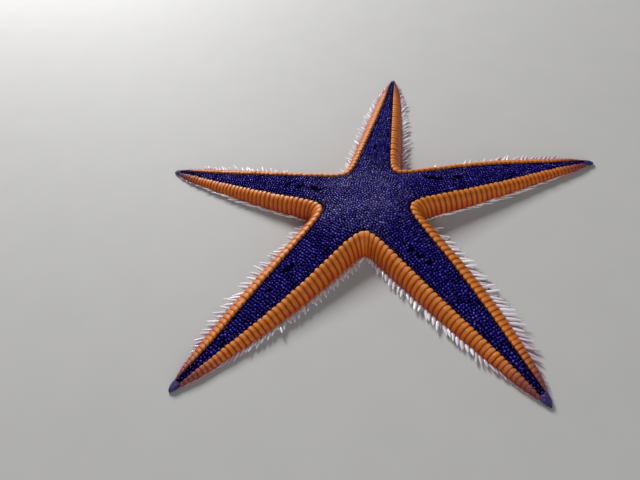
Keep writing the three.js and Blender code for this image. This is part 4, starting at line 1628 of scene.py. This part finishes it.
def set_up(name, data, right, up, back, place):
    """An object for a lamp or a camera, which look along the opposite of back, placed in metres."""
    made = bpy.data.objects.new(name, data)
    axes = np.stack([right, up, back, place], 1)
    made.matrix_world = Matrix([*axes.tolist(), [0, 0, 0, 1]])
    bpy.context.scene.collection.objects.link(made)
    return made


def soft_light(name, place, size, power):
    """A square area light that faces the model."""
    lamp = bpy.data.lights.new(name, "AREA")
    lamp.shape, lamp.size, lamp.energy = "SQUARE", size, power
    toward = unit(-np.array(place))
    set_up(name, lamp, *looking(toward), -toward, place)


SKY_COLOUR, SKY_STRENGTH = (0.93, 0.95, 1.0, 1.0), 0.15
soft_light("key", (-0.42, 0.68, 0.5), 0.3, 9.7)
soft_light("fill", (0.25, -0.82, 0.26), 0.6, 2.9)
world = bpy.data.worlds.new("studio")
world.use_nodes = True
sky = world.node_tree.nodes["Background"]
sky.inputs["Color"].default_value, sky.inputs["Strength"].default_value = SKY_COLOUR, SKY_STRENGTH
bpy.context.scene.world = world
bpy.context.scene.view_settings.view_transform = "Standard"  # keeps the violet and orange full
print("lights: key and fill, under a sky of strength", SKY_STRENGTH)

# %% Camera
FRAME_WIDTH, SENSOR_WIDTH = 640, 36.0  # pixels, and millimetres
LENS_PIXELS = 497.2  # focal length in pixels of the frame
AZIMUTH, ELEVATION, ROLL = math.radians(14.46), math.radians(48.19), math.radians(-10.61)
DISTANCE = 181.9  # from the point that it aims at
AIM = np.array([-16.59, -13.37, 0.0]) + [*DISC_CENTRE, 0]


def make_camera():
    """Back = (sin a cos e, -cos a cos e, sin e); right and up are then turned by the roll."""
    back = np.array([
        math.sin(AZIMUTH) * math.cos(ELEVATION),
        -math.cos(AZIMUTH) * math.cos(ELEVATION),
        math.sin(ELEVATION),
    ])
    level, upright = looking(-back)
    right = level * math.cos(ROLL) + upright * math.sin(ROLL)
    up = upright * math.cos(ROLL) - level * math.sin(ROLL)
    data = bpy.data.cameras.new("camera")
    data.sensor_width = SENSOR_WIDTH
    data.lens = SENSOR_WIDTH * LENS_PIXELS / FRAME_WIDTH
    data.clip_start = 0.01
    place = AIM + back * DISTANCE
    bpy.context.scene.camera = set_up("camera", data, right, up, back, place * MM)
    print("lens", round(data.lens, 1), "mm, camera at", np.round(place, 1), "mm")


make_camera()

# %% The end
bpy.context.view_layer.update()
